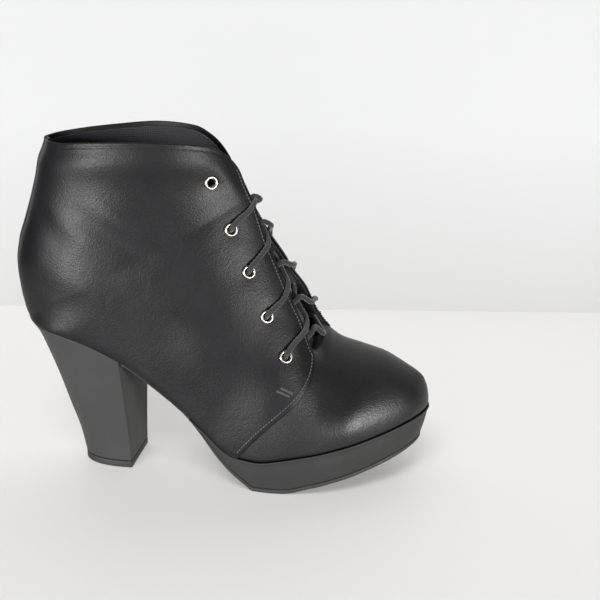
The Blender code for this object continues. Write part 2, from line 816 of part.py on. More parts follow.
def build_top_piece(look):
    """Rubber lift under the heel, flat below."""
    foot_ring = next(heel_levels())
    rings = []
    for z in (0.0, TOP_PIECE_THICKNESS):
        rings.append([
            Vector((ORIGIN_X + (p.x - ORIGIN_X) * (1 - TOP_PIECE_INSET / 0.016), p.y * (1 - TOP_PIECE_INSET / 0.016), z))
            for p in foot_ring
        ])
    return add_object("heel_top_piece", loft(rings), look)


def lace_path(points, samples):
    """Points along a smooth curve through the route's own points."""
    smooth = []
    count = len(points)
    for i in range(count - 1):
        before = points[max(0, i - 1)]
        after = points[min(count - 1, i + 2)]
        a, b = points[i], points[i + 1]
        first = a + (b - before) / 6
        second = b - (after - a) / 6
        piece = interpolate_bezier(a, first, second, b, samples + 1)
        smooth.extend(piece if i == count - 2 else piece[:-1])
    return smooth


def tube(points, radius):
    """Closed tube of LACE_SIDES sides along a path."""
    rings = []
    normal = Vector((0.31, 0.11, 0.94))
    for i, here in enumerate(points):
        tangent = (points[min(i + 1, len(points) - 1)] - points[max(i - 1, 0)]).normalized()
        normal = (normal - tangent * normal.dot(tangent)).normalized()
        side = tangent.cross(normal)
        ring = []
        for k in range(LACE_SIDES):
            turn = 2 * math.pi * k / LACE_SIDES
            ring.append(here + normal * radius * math.cos(turn) + side * radius * math.sin(turn))
        rings.append(ring)
    return loft(rings)


def lace_strand(from_row, to_row, side):
    """Route of one strand from beside its eyelet over the facing's edge to the other facing."""
    radius = LACE_DIAMETER / 2
    clear = radius + CLEARANCE * 2
    start_angle = EYELET_ROWS[from_row][0]
    end_angle = EYELET_ROWS[to_row][0]
    eyelet = EYELET_ROWS[from_row][1] * BALL_WIDTH
    flange = EYELET_DIAMETER / 2 + radius + CLEARANCE * 3
    stops = (
        # share of the way up, share of the half gap, added distance from the centre, height
        (0.02, 0.0, eyelet - flange, clear),
        (0.10, 1.0, radius, clear),
        (0.22, 0.5, 0.0, clear * 0.7),
        (0.36, 0.0, 0.0, 0.0),
        (0.50, -0.5, 0.0, -0.0004),
        (0.58, -1.0, radius + CLEARANCE * 2, -0.0005),
    )
    points = []
    for up, gap_share, added, height in stops:
        angle = start_angle + (end_angle - start_angle) * up
        across = side * (gap_share * facing_gap(angle) + added)
        points.append(throat_place(angle, across, height))
    return lace_path(points, 3)


def throat_place(angle, across, height):
    """Point over the throat, at a lateral section angle and a signed distance from the centre."""
    across = across or 1e-5
    here, normal, _ = throat_frame(side_angle(angle, -1 if across < 0 else 1), across)
    return here + normal * height


def build_bar(look):
    """Lowest run of the lace, straight across the gap between the bottom eyelets."""
    angle = EYELET_ROWS[-1][0] + BAR_DROP
    reach = facing_gap(angle) - LACE_DIAMETER / 2
    steps = 4
    points = [throat_place(angle, reach * (2 * k / steps - 1), -BAR_DEPTH) for k in range(steps + 1)]
    return add_object("lace_bar", tube(lace_path(points, 2), LACE_DIAMETER / 2), look)


def build_crossing(number, from_row, to_row, look):
    """Two strands that cross between the facings, joined where they meet."""
    name = f"lace_crossing_{number}"
    first = add_object(name, tube(lace_strand(from_row, to_row, -1), LACE_DIAMETER / 2), look)
    second = add_object(f"cut_{name}", tube(lace_strand(from_row, to_row, 1), LACE_DIAMETER / 2), look)
    second.hide_render = True
    second.display_type = "WIRE"
    joined = first.modifiers.new("join", "BOOLEAN")
    joined.operation = "UNION"
    joined.object = second
    return first


def clear_scene():
    for thing in list(bpy.data.objects):
        bpy.data.objects.remove(thing, do_unlink=True)


LEATHER = ((0.028, 0.028, 0.030), 0.45)
RUBBER = ((0.018, 0.018, 0.018), 0.65)
LINING = ((0.015, 0.015, 0.016), 0.80)
NICKEL = ((0.75, 0.74, 0.72), 0.25, 1.0)
CORD = ((0.020, 0.021, 0.022), 0.85)


def main():
    clear_scene()
    build_upper(LEATHER)
    build_tongue(LEATHER)
    build_insole(LINING)
    build_platform(LEATHER)
    build_outsole(RUBBER)
    build_heel(LEATHER)
    build_top_piece(RUBBER)
    for name, place, normal in eyelet_places():
        build_eyelet(name, place, normal, NICKEL)
    build_bar(CORD)
    last = len(EYELET_ROWS) - 1
    for number, row in enumerate(range(last, 0, -1), 1):
        build_crossing(number, row, row - 1, CORD)


main()
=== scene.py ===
"""Looks of the lace up ankle boot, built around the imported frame.

The same tables and curves that shape the solids are read here at a finer step.
Lengths are metres in the last's own coordinates, and a mesh is set back by ORIGIN_X when it is made.
"""
import math

import bmesh
import bpy
import numpy as np
from mathutils import Matrix, Vector
from mathutils.bvhtree import BVHTree


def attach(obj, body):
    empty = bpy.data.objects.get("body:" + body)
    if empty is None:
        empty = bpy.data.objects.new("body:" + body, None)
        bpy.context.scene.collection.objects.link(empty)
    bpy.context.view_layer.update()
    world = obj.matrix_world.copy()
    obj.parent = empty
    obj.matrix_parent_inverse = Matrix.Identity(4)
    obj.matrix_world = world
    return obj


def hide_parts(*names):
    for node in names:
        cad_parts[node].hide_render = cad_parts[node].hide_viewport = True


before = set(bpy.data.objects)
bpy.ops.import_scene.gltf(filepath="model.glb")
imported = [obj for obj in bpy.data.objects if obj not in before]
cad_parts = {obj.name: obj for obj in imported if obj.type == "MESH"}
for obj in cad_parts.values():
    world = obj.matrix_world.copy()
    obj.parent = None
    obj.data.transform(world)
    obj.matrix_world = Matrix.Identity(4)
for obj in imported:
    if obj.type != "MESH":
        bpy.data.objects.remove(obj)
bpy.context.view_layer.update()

# Driving sizes of the boot
LENGTH = 0.2345
BALL_WIDTH = 0.084
HEEL_RISE = 0.091
SHAFT_HEIGHT = 0.101
PLATFORM_RISE = 0.0195
TOE_SPRING = 0.020
BREAST_AT = 0.0640
WALL = 0.0022
QUARTER_STEP = 0.0009
CLEARANCE = 0.0003
OUTSOLE_THICKNESS = 0.0024
PLATFORM_EDGE = 0.0006
PLATFORM_LEAN = 0.0026
TOE_LEAN = 0.0032
INSOLE_THICKNESS = 0.0016
HEEL_TIP_BACK = 0.0330
HEEL_TIP_WIDTH = 0.0330
HEEL_BREAST_LEAN = 0.0008
HEEL_BREAST_TURN = 0.06
TOP_PIECE_THICKNESS = 0.0040
TONGUE_THICKNESS = 0.0016
TONGUE_WIDTH = 0.046
TONGUE_TUCK = 4.0
EYELET_DIAMETER = 0.0075
EYELET_BORE = 0.0045
EYELET_BARREL_WALL = 0.0004
LACE_DIAMETER = 0.0028
HEEL_ROUND = 0.029
TOE_ROUND = 0.050
SEAT_BACK = 0.0220 * LENGTH
SHAFT_TOP = HEEL_RISE + SHAFT_HEIGHT
ORIGIN_X = (HEEL_TIP_BACK + BREAST_AT) / 2
FAN_ALONG = 0.800 * LENGTH
FAN_UP = SHAFT_TOP
SHANK_END = 0.418 * LENGTH
PLATFORM_THIN = 0.0005
QUARTER_AT = 0.546 * LENGTH
QUARTER_BOW = 0.0062
BOW_PEAK = 9.48
ROLL_FALL = 1.3
COLLAR_BLEND = 8
MERGE = 0.00003

# Facing's top and the tab at its foot on the lateral and the medial side, and the throat's bottom
FACING_TOP_ANGLE = {-1: 20.0, 1: 23.0}
TAB_ANGLE = {-1: 81.0, 1: 84.0}
THROAT_ANGLE = 86.0

# Feather line, where upper meets sole: shares of length, heel rise, platform rise and toe spring
FEATHER_LINE = (
    # along, heel, platform, spring
    (0.0220, 1.000, 0.00, 0.000),
    (0.068, 0.972, 0.00, 0.000),
    (0.141, 0.928, 0.00, 0.000),
    (0.273, 0.778, 0.00, 0.000),
    (0.375, 0.556, 0.15, 0.000),
    (0.426, 0.400, 0.34, 0.000),
    (0.482, 0.180, 0.73, 0.000),
    (0.507, 0.092, 0.86, 0.000),
    (0.537, 0.025, 0.96, 0.000),
    (0.593, 0.000, 1.00, 0.000),
    (0.652, 0.000, 1.00, 0.115),
    (0.725, 0.000, 1.00, 0.290),
    (0.797, 0.000, 1.00, 0.470),
    (0.870, 0.000, 1.00, 0.660),
    (0.938, 0.000, 1.00, 0.850),
    (1.000, 0.000, 1.00, 1.000),
)

# Underside of the outsole ahead of the shank, flat under the ball: shares as above
UNDERSIDE_LINE = (
    # along, heel, spring
    (0.456, 0.343, 0.000),
    (0.495, 0.203, 0.000),
    (0.529, 0.108, 0.000),
    (0.5655, 0.033, 0.000),
    (0.585, 0.000, 0.000),
    (0.652, 0.000, 0.000),
    (0.725, 0.000, 0.190),
    (0.800, 0.000, 0.410),
    (0.874, 0.000, 0.640),
    (0.932, 0.000, 0.840),
    (1.000, 0.000, 1.070),
)

# Plan outline at the feather line before its ends are rounded: shares of length and ball width
OUTLINE = (
    # along, centre, lateral, medial
    (0.000, 0.000, 0.340, 0.340),
    (0.130, 0.000, 0.345, 0.340),
    (0.273, 0.000, 0.360, 0.340),
    (0.384, -0.006, 0.374, 0.326),
    (0.469, -0.006, 0.405, 0.357),
    (0.554, 0.000, 0.457, 0.440),
    (0.640, 0.006, 0.500, 0.488),
    (0.725, 0.018, 0.506, 0.488),
    (0.797, 0.030, 0.476, 0.458),
    (0.870, 0.042, 0.428, 0.423),
    (0.932, 0.048, 0.393, 0.398),
    (1.000, 0.048, 0.335, 0.345),
)

# Centre ridge of the instep and vamp: shares of length and of the shaft top's height
RIDGE_LINE = (
    # along, height
    (0.473, 1.115),
    (0.516, 1.000),
    (0.536, 0.948),
    (0.5550, 0.896),
    (0.5820, 0.841),
    (0.6310, 0.703),
    (0.691, 0.5625),
    (0.727, 0.458),
    (0.752, 0.414),
    (0.784, 0.388),
    (0.836, 0.377),
    (0.885, 0.366),
    (0.938, 0.336),
    (0.971, 0.306),
    (0.990, 0.270),
)

# Back seam above the heel seat: shares of length and of the shaft's height
BACK_LINE = (
    # along, height
    (0.1045, 1.220),
    (0.0890, 0.935),
    (0.0750, 0.842),
    (0.0575, 0.720),
    (0.0330, 0.535),
    (0.0130, 0.402),
    (0.0035, 0.267),
    (0.0095, 0.129),
    (0.0220, 0.000),
)

# Cross sections of the upper, by the angle of their plane below the horizontal, in degrees
SECTIONS = (
    # angle, lateral, medial, widest, front, back, roll
    (-8.0, 0.357, 0.352, 0.50, 0.50, 0.44, 0.00),
    (2.0, 0.357, 0.352, 0.50, 0.50, 0.44, 0.00),
    (12.0, 0.352, 0.348, 0.52, 0.52, 0.43, 0.04),
    (21.5, 0.362, 0.356, 0.56, 0.54, 0.410, 0.09),
    (29.0, 0.373, 0.364, 0.61, 0.555, 0.405, 0.13),
    (44.0, 0.392, 0.370, 0.70, 0.58, 0.44, 0.18),
    (64.0, 0.430, 0.380, 0.76, 0.58, 0.50, 0.26),
    (74.0, 0.502, 0.492, 0.79, 0.57, 0.50, 0.33),
    (84.0, 0.524, 0.506, 0.78, 0.54, 0.50, 0.33),
    (90.0, 0.500, 0.482, 0.77, 0.52, 0.50, 0.22),
    (96.0, 0.452, 0.446, 0.76, 0.50, 0.50, 0.11),
    (102.0, 0.412, 0.416, 0.74, 0.50, 0.50, 0.05),
    (108.0, 0.360, 0.366, 0.72, 0.50, 0.50, 0.00),
)

# Collar's edge, from the back seam to the top of the facing: shares of that run and of the shaft
COLLAR_LINE = (
    # along, lateral, medial
    (0.000, 0.966, 0.966),
    (0.050, 0.967, 0.978),
    (0.115, 0.967, 0.988),
    (0.200, 0.976, 0.999),
    (0.300, 0.985, 1.010),
    (0.540, 0.994, 1.030),
    (0.730, 0.984, 1.020),
    (0.830, 0.970, 0.984),
    (0.885, 0.946, 0.950),
    (0.945, 0.888, 0.884),
    (0.980, 0.833, 0.820),
    (1.000, 0.785, 0.785),
)

# Half gap between the facings, by lateral section angle, as a share of the ball width
FACING_GAP = (
    # angle, half
    (11.0, 0.066),
    (30.0, 0.077),
    (46.0, 0.095),
    (58.0, 0.113),
    (70.0, 0.149),
    (76.0, 0.178),
    (81.0, 0.225),
)

# Eyelet rows from the collar down: lateral section angle, and distance from the centre in ball widths
EYELET_ROWS = (
    # angle, across
    (16.4, 0.217),
    (36.2, 0.216),
    (51.9, 0.239),
    (64.6, 0.282),
    (73.7, 0.351),
)

# Soft creases of the quarters. Places are shares of length and of the shaft top's height in side view.
# A positive depth sinks the leather and a negative one raises it.
CREASES = (
    # side, start along, start up, end along, end up, width, depth
    (-1, 0.060, 0.800, 0.155, 0.715, 0.0062, 0.00060),
    (-1, 0.085, 0.830, 0.190, 0.735, 0.0060, -0.00040),
    (-1, 0.195, 0.790, 0.335, 0.690, 0.0060, 0.00075),
    (-1, 0.230, 0.820, 0.360, 0.730, 0.0050, -0.00050),
    (-1, 0.100, 0.640, 0.250, 0.560, 0.0090, -0.00060),
    (-1, 0.420, 0.900, 0.470, 0.700, 0.0100, -0.00020),
    (-1, 0.470, 0.700, 0.545, 0.480, 0.0080, -0.00030),
    (-1, 0.330, 0.560, 0.420, 0.420, 0.0090, 0.00060),
    (1, 0.070, 0.790, 0.180, 0.700, 0.0050, 0.00070),
    (1, 0.210, 0.800, 0.340, 0.700, 0.0060, 0.00070),
    (1, 0.110, 0.640, 0.260, 0.570, 0.0090, -0.00060),
    (1, 0.340, 0.560, 0.430, 0.430, 0.0090, 0.00060),
)


def smooth_step(x):
    x = min(1.0, max(0.0, x))
    return x * x * (3 - 2 * x)


class Curve:
    """Smooth curve through rows of (key, value) that never overshoots them, level past its ends."""

    def __init__(self, pairs):
        pairs = sorted(pairs)
        self.xs = np.array([pair[0] for pair in pairs], float)
        self.ys = np.array([pair[1] for pair in pairs], float)
        steps = np.diff(self.xs)
        rates = np.diff(self.ys) / steps
        before, after = rates[:-1], rates[1:]
        heavy = 2 * steps[1:] + steps[:-1]
        light = steps[1:] + 2 * steps[:-1]
        same = before * after > 0
        mean = (heavy + light) / (heavy / np.where(same, before, 1) + light / np.where(same, after, 1))
        self.tangents = np.concatenate(([rates[0]], np.where(same, mean, 0.0), [rates[-1]]))

    def __call__(self, x):
        x = np.clip(np.asarray(x, float), self.xs[0], self.xs[-1])
        i = np.clip(np.searchsorted(self.xs, x) - 1, 0, len(self.xs) - 2)
        h = self.xs[i + 1] - self.xs[i]
        t = (x - self.xs[i]) / h
        start = (1 + 2 * t) * (1 - t) ** 2 * self.ys[i] + t * (1 - t) ** 2 * h * self.tangents[i]
        end = t * t * (3 - 2 * t) * self.ys[i + 1] + t * t * (t - 1) * h * self.tangents[i + 1]
        return start + end


def column(rows, index, key_scale=1.0, scale=1.0):
    return Curve([(row[0] * key_scale, row[index] * scale) for row in rows])


feather_z = Curve([
    (row[0] * LENGTH, row[1] * HEEL_RISE + row[2] * PLATFORM_RISE + row[3] * TOE_SPRING)
    for row in FEATHER_LINE
])
shank_under = [
    (x, float(feather_z(x)) - OUTSOLE_THICKNESS - CLEARANCE)
    for x in np.linspace(BREAST_AT, SHANK_END, 11)
]
underside_z = Curve(shank_under + [
    (row[0] * LENGTH, row[1] * HEEL_RISE + row[2] * TOE_SPRING) for row in UNDERSIDE_LINE
])
outline_centre = column(OUTLINE, 1, LENGTH, BALL_WIDTH)
outline_half = {-1: column(OUTLINE, 2, LENGTH, BALL_WIDTH), 1: column(OUTLINE, 3, LENGTH, BALL_WIDTH)}
section_half = {-1: column(SECTIONS, 1, 1, BALL_WIDTH), 1: column(SECTIONS, 2, 1, BALL_WIDTH)}
section_widest = column(SECTIONS, 3)
section_front = column(SECTIONS, 4)
section_back = column(SECTIONS, 5)
section_roll = column(SECTIONS, 6)
facing_gap = column(FACING_GAP, 1, 1, BALL_WIDTH)
collar_height = {-1: column(COLLAR_LINE, 1), 1: column(COLLAR_LINE, 2)}


def fan_angle(x, z):
    return np.degrees(np.arctan2(FAN_UP - z, FAN_ALONG - x))


def fan_reach(x, z):
    return np.hypot(FAN_UP - z, FAN_ALONG - x)


def fan_point(angle, reach):
    turn = np.radians(angle)
    return FAN_ALONG - reach * np.cos(turn), FAN_UP - reach * np.sin(turn)


ridge_points = [(row[0] * LENGTH, row[1] * SHAFT_TOP) for row in RIDGE_LINE]
back_points = [(row[0] * LENGTH, HEEL_RISE + row[1] * SHAFT_HEIGHT) for row in BACK_LINE]
feather_points = [(row[0] * LENGTH, float(feather_z(row[0] * LENGTH))) for row in FEATHER_LINE]
ridge_reach = Curve([(fan_angle(x, z), fan_reach(x, z)) for x, z in ridge_points])
feather_reach = Curve([(fan_angle(x, z), fan_reach(x, z)) for x, z in feather_points])
back_x = Curve([(z, x) for x, z in back_points])
back_heights = np.linspace(back_points[-1][1], back_points[0][1], 61)
back_reach = Curve([(fan_angle(float(back_x(z)), z), fan_reach(float(back_x(z)), z)) for z in back_heights])
HEEL_CORNER_ANGLE = fan_angle(*back_points[-1])
TOE_ANGLE = fan_angle(*feather_points[-1])


def toe_round(x):
    ahead = np.clip((LENGTH - x) / TOE_ROUND, 0, 1)
    return np.sqrt(1 - (1 - ahead) ** 2)


def end_round(x, inset=0.0):
    """1 along the foot, falling to 0 at the heel's and the toe's end like an arc."""
    behind = np.clip((x - SEAT_BACK - inset) / HEEL_ROUND, 0, 1)
    ahead = np.clip((LENGTH - inset - x) / TOE_ROUND, 0, 1)
    return np.sqrt((1 - (1 - behind) ** 2) * (1 - (1 - ahead) ** 2))


def outline_y(x, side, inset=0.0):
    half = np.maximum(0.0, outline_half[side](x) - inset)
    return outline_centre(x) + side * half * end_round(x, inset)


class Section:
    """Fanned cross sections of the upper's outer surface, on one side."""

    def __init__(self, angle, side):
        self.angle = np.minimum(angle, TOE_ANGLE)
        self.side = side
        self.ridge = ridge_reach(self.angle)
        below = self.angle > HEEL_CORNER_ANGLE
        self.bottom = np.where(below, feather_reach(self.angle), back_reach(self.angle))
        bottom_x = fan_point(self.angle, self.bottom)[0]
        self.centre = np.where(below, outline_centre(bottom_x), 0.0)
        self.half = section_half[side](self.angle) * np.where(below, toe_round(bottom_x), 1.0)
        self.half = np.maximum(self.half, 1e-9)
        edge = np.where(below, np.abs(outline_y(bottom_x, side) - self.centre), 0.0)
        self.widest = section_widest(self.angle)
        self.front = section_front(self.angle)
        self.back = section_back(self.angle)
        share = np.minimum(0.995, edge / self.half)
        self.tuck = 1.0 - share ** (1.0 / self.back)
        self.roll = section_roll(self.angle)

    def width(self, depth):
        ahead = np.clip((self.widest - depth) / self.widest, 0, 1)
        behind = np.clip((depth - self.widest) / (1 - self.widest), 0, 1)
        near = np.maximum(0.0, 1 - ahead * ahead) ** self.front
        far = np.maximum(0.0, 1 - self.tuck * behind * behind) ** self.back
        return self.half * np.where(depth < self.widest, near, far)

    def depth_of(self, across):
        share = np.minimum(1.0, across / self.half)
        return self.widest * (1 - np.sqrt(np.maximum(0.0, 1 - share ** (1.0 / self.front))))

    def side_place(self, depth):
        """Place in side view at a depth."""
        return fan_point(self.angle, self.ridge + depth * (self.bottom - self.ridge))

    def point(self, depth, across=None):
        width = self.width(depth) if across is None else across
        reach = self.ridge + depth * (self.bottom - self.ridge)
        lift = self.roll * width * self.side * (1 - np.minimum(1.0, depth)) ** ROLL_FALL
        x, z = fan_point(self.angle, reach - lift)
        return np.stack(np.broadcast_arrays(x, self.centre + self.side * width, z), axis=-1)


def surface_at(x, z, side):
    """Points of the outer surface whose section and depth are those of (x, z) in side view."""
    section = Section(fan_angle(x, z), side)
    depth = (fan_reach(x, z) - section.ridge) / (section.bottom - section.ridge)
    return section.point(np.clip(depth, 0, 1))


def throat_surface(angle, across):
    side = -1 if across < 0 else 1
    section = Section(angle, side)
    return Vector(section.point(section.depth_of(abs(across)), abs(across)))


def toward_hub(angle):
    """Direction in side view from the upper to the hub of its sections."""
    turn = math.radians(angle)
    return Vector((math.cos(turn), 0, math.sin(turn)))


FLAP_FALL = 0.0048
FLAP_REACH = 0.024
flap_run = Curve(((11.0, 0.85), (16.0, 1.0), (34.0, 1.0), (44.0, 0.72), (54.0, 0.30), (62.0, 0.0)))


def flap_fall(point):
    """The empty medial facing leans in over the tongue, most near its edge and at its top."""
    x, y, z = point
    angle = float(fan_angle(x, z))
    half = float(facing_gap(min(angle, 81.0)))
    if y <= 0 or angle > 62:
        return Vector((0, 0, 0))
    share = smooth_step(y / (0.9 * half)) if y < half else math.exp(-((y - half) / FLAP_REACH) ** 2)
    return toward_hub(angle) * -FLAP_FALL * share * float(flap_run(angle))


def throat_frame(angle, across, step=0.0004):
    """Point and outward normal near the ridge."""
    here = throat_surface(angle, across)
    along = throat_surface(angle + 1.0, across) - throat_surface(angle - 1.0, across)
    sideways = throat_surface(angle, across + step) - throat_surface(angle, across - step)
    normal = along.cross(sideways).normalized()
    if normal.x < 0 and normal.z < 0:
        normal.negate()
    return here + flap_fall(here), normal


def side_angle(angle, side):
    """Angle on one side's facing that matches an angle on the lateral facing."""
    share = (angle - FACING_TOP_ANGLE[-1]) / (TAB_ANGLE[-1] - FACING_TOP_ANGLE[-1])
    return FACING_TOP_ANGLE[side] + (TAB_ANGLE[side] - FACING_TOP_ANGLE[side]) * share


def facing_edge(angle, side):
    """Side view places of the facing's edge."""
    section = Section(side_angle(angle, side), side)
    return section.side_place(section.depth_of(facing_gap(angle)))


def collar_edge(share, side):
    start = back_points[1][0]
    end = facing_edge(FACING_TOP_ANGLE[-1], side)
    top = (end[1] - HEEL_RISE) / SHAFT_HEIGHT
    level = collar_height[side](share) + (top - COLLAR_LINE[-1][1]) * share ** COLLAR_BLEND
    return start + (end[0] - start) * share, HEEL_RISE + level * SHAFT_HEIGHT


def lengths_along(points):
    """Length of a path up to each of its points."""
    return np.concatenate(([0.0], np.cumsum(np.linalg.norm(np.diff(points, axis=0), axis=1))))


def spread(points, at):
    """Marks 0..1 on a densely sampled path that lie at these shares of its length."""
    lengths = lengths_along(points)
    return np.interp(np.asarray(at) * lengths[-1], lengths, np.linspace(0, 1, len(points)))


DENSE = np.linspace(0, 1, 241)


def feather_run(start, end, side, at):
    """Points along the feather line between two lengths, at shares of its run."""
    x = start + (end - start) * DENSE
    path = np.stack((x, outline_y(x, side), feather_z(x)), axis=-1)
    x = start + (end - start) * spread(path, at)
    return np.stack((x, outline_y(x, side), feather_z(x)), axis=-1)


def row_marks(rows, fine=14, band=0.07):
    """Shares of the way up a column, closer together in a band at its head."""
    return np.concatenate((np.linspace(0, 1 - band, rows - fine + 1), np.linspace(1 - band, 1, fine + 1)[1:]))


def fill_columns(feet, heads, crowd, bow, rows, side):
    """Grid of surface points between feet on the feather line and heads in side view."""
    t = row_marks(rows)[None, :]
    v = 1 - (1 - t) ** crowd[:, None]
    foot_x, foot_z = feet[:, 0:1], feet[:, 2:3]
    head_x, head_z = heads[0][:, None], heads[1][:, None]
    z = (1 - v) * foot_z + v * head_z
    x = back_x(z) + (1 - v) * (foot_x - back_x(foot_z)) + v * (head_x - back_x(head_z))
    x = x + QUARTER_BOW * bow[:, None] * BOW_PEAK * v ** 3 * (1 - v)
    grid = surface_at(x, z, side)
    grid[:, 0] = feet
    return grid


def quarter_grid(side, rows, collar_steps=60, facing_steps=72):
    """Columns of one quarter, from the back seam to its front edge."""
    at = np.linspace(0, 1, collar_steps + 1)
    collar = surface_at(*collar_edge(DENSE, side), side)
    marks = spread(collar, at)
    feet = feather_run(SEAT_BACK, BREAST_AT, side, at)
    ones = np.ones(len(at))
    rear = fill_columns(feet, collar_edge(marks, side), ones, 0 * ones, rows, side)
    seam = Section(fan_angle(rear[0, :, 0], rear[0, :, 2]), side)
    rear[0] = seam.point(np.ones(rows + 1), np.zeros(rows + 1))
    share = np.linspace(0, 1, facing_steps + 1)[1:]
    feet = feather_run(BREAST_AT, QUARTER_AT, side, share)
    heads = facing_edge(FACING_TOP_ANGLE[-1] + (TAB_ANGLE[-1] - FACING_TOP_ANGLE[-1]) * share, side)
    front = fill_columns(feet, heads, 1.0 + 0.2 * share, share ** 2, rows, side)
    return np.concatenate((rear, front))


VAMP_UNDER_AT = 0.538 * LENGTH
VAMP_UNDER_TAB = 0.0050
VAMP_TAB_REACH = 4.0
VAMP_TOP_ANGLE = 79.5
VAMP_FALL_FROM = 85.8
VAMP_FALL_RATE = 0.00032
VAMP_FALL_LIMIT = 0.012


def vamp_grid(side, rows, throat_steps=26, ridge_steps=90, throat_part=3.5, ridge_part=14.5):
    """Columns of one side of the vamp, which runs on below the quarter's edge and the facings."""
    whole = throat_part + ridge_part
    c = np.concatenate((
        np.linspace(0, throat_part, throat_steps + 1),
        np.linspace(throat_part, whole, ridge_steps + 1)[1:],
    ))
    feet = feather_run(VAMP_UNDER_AT, LENGTH, side, c / whole)
    in_throat = c <= throat_part
    share = np.minimum(1.0, c / throat_part)
    across = (facing_gap(TAB_ANGLE[-1]) + VAMP_UNDER_TAB) * np.cos(share * math.pi / 2)
    start = TAB_ANGLE[side] - VAMP_TAB_REACH
    hidden = Section(start + (VAMP_TOP_ANGLE - start) * share, side)
    throat = hidden.side_place(hidden.depth_of(across))
    angle = VAMP_TOP_ANGLE + (TOE_ANGLE - VAMP_TOP_ANGLE) * np.maximum(0.0, (c - throat_part) / ridge_part)
    ridge = fan_point(angle, ridge_reach(angle))
    heads = [np.where(in_throat, a, b) for a, b in zip(throat, ridge)]
    crowd = np.where(in_throat, 1.2 + 0.5 * c / throat_part, 1.7)
    return fill_columns(feet, heads, crowd, (1 - c / whole) ** 2, rows, side)


def weld(grids):
    """Open surface through a lateral grid of points and, where given, its medial twin, facing outward."""
    shape = bmesh.new()
    for medial, grid in enumerate(grids):
        lines = [[shape.verts.new(point) for point in line] for line in grid]
        for a, b in zip(lines, lines[1:]):
            for j in range(len(a) - 1):
                corners = (a[j], b[j], b[j + 1], a[j + 1])
                shape.faces.new(corners[::-1] if medial else corners)
    bmesh.ops.remove_doubles(shape, verts=shape.verts, dist=MERGE)
    bmesh.ops.dissolve_degenerate(shape, edges=shape.edges, dist=1e-6)
    shape.normal_update()
    return shape


def rim_directions(shape):
    """For each vertex of an open surface's rim, the way out of the surface in its own plane."""
    out = {}
    for edge in shape.edges:
        if not edge.is_boundary:
            continue
        face = edge.link_faces[0]
        a, b = edge.verts
        away = (b.co - a.co).cross(face.normal)
        if away.length < 1e-12:
            continue
        away.normalize()
        if away.dot(face.calc_center_median() - a.co) > 0:
            away.negate()
        for vert in (a, b):
            out[vert] = out.get(vert, Vector((0, 0, 0))) + away
    for vert, away in out.items():
        away -= vert.normal * away.dot(vert.normal)
        out[vert] = away.normalized()
    return out


def shell(shape, top, thickness, arc=5):
    """Turn an open surface into a closed sheet below the height top, with rounded edges."""
    shape.normal_update()
    away = rim_directions(shape)
    normals = {vert: vert.normal.copy() for vert in shape.verts}
    faces = list(shape.faces)
    rim = [edge for edge in shape.edges if edge.is_boundary]
    for vert, normal in normals.items():
        vert.co = vert.co + normal * top
    inner = {vert: shape.verts.new(vert.co - normal * thickness) for vert, normal in normals.items()}
    radius = thickness / 2
    rings = {}
    for vert, out in away.items():
        middle = vert.co - normals[vert] * radius
        ring = [vert]
        for k in range(1, arc):
            turn = math.pi * k / arc
            ring.append(shape.verts.new(
                middle + normals[vert] * radius * math.cos(turn) + out * radius * math.sin(turn)))
        rings[vert] = ring + [inner[vert]]
    for face in faces:
        shape.faces.new([inner[vert] for vert in reversed(face.verts)])
    for edge in rim:
        a, b = edge.verts
        if a not in rings or b not in rings:
            continue
        for k in range(arc):
            shape.faces.new((rings[a][k], rings[b][k], rings[b][k + 1], rings[a][k + 1]))
    bmesh.ops.recalc_face_normals(shape, faces=shape.faces)
    return shape


def place_object(name, data):
    made = bpy.data.objects.new(name, data)
    bpy.context.scene.collection.objects.link(made)
    return made


def mesh_object(name, shape, look=None):
    """Object with a bmesh's faces. The bmesh is freed."""
    mesh = bpy.data.meshes.new(name)
    shape.to_mesh(mesh)
    shape.free()
    if look is not None:
        mesh.materials.append(look)
    return place_object(name, mesh)


def on_origin(shape):
    bmesh.ops.translate(shape, verts=shape.verts, vec=(-ORIGIN_X, 0, 0))
    return shape


def finish_object(name, shape, look, nodes=(), sharp=None):
    """Name a bmesh's object, set it on the boot's origin and let it ride with the boot."""
    made = mesh_object(name, on_origin(shape), look)
    made.data.shade_smooth()
    if sharp is not None:
        made.data.set_sharp_from_angle(angle=math.radians(sharp))
    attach(made, "root")
    if nodes:
        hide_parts(*nodes)
    return made


def apply_modifiers(thing):
    """Keep a modifier's result as the object's own mesh."""
    bpy.context.view_layer.update()
    evaluated = thing.evaluated_get(bpy.context.evaluated_depsgraph_get())
    mesh = bpy.data.meshes.new_from_object(evaluated)
    thing.modifiers.clear()
    thing.data = mesh


def skin(shape, rings, close_ends=True):
    """Add the faces round and between rings of equal length."""
    made = [[shape.verts.new(point) for point in ring] for ring in rings]
    for a, b in zip(made, made[1:]):
        for k in range(len(a)):
            following = (k + 1) % len(a)
            shape.faces.new((a[k], a[following], b[following], b[k]))
    if close_ends:
        shape.faces.new(made[0])
        shape.faces.new(reversed(made[-1]))


def loft(rings, close_ends=True):
    """Closed solid through rings of equal length."""
    shape = bmesh.new()
    skin(shape, rings, close_ends)
    bmesh.ops.remove_doubles(shape, verts=shape.verts, dist=1e-6)
    bmesh.ops.dissolve_degenerate(shape, edges=shape.edges, dist=1e-6)
    bmesh.ops.recalc_face_normals(shape, faces=shape.faces)
    return shape


# Materials

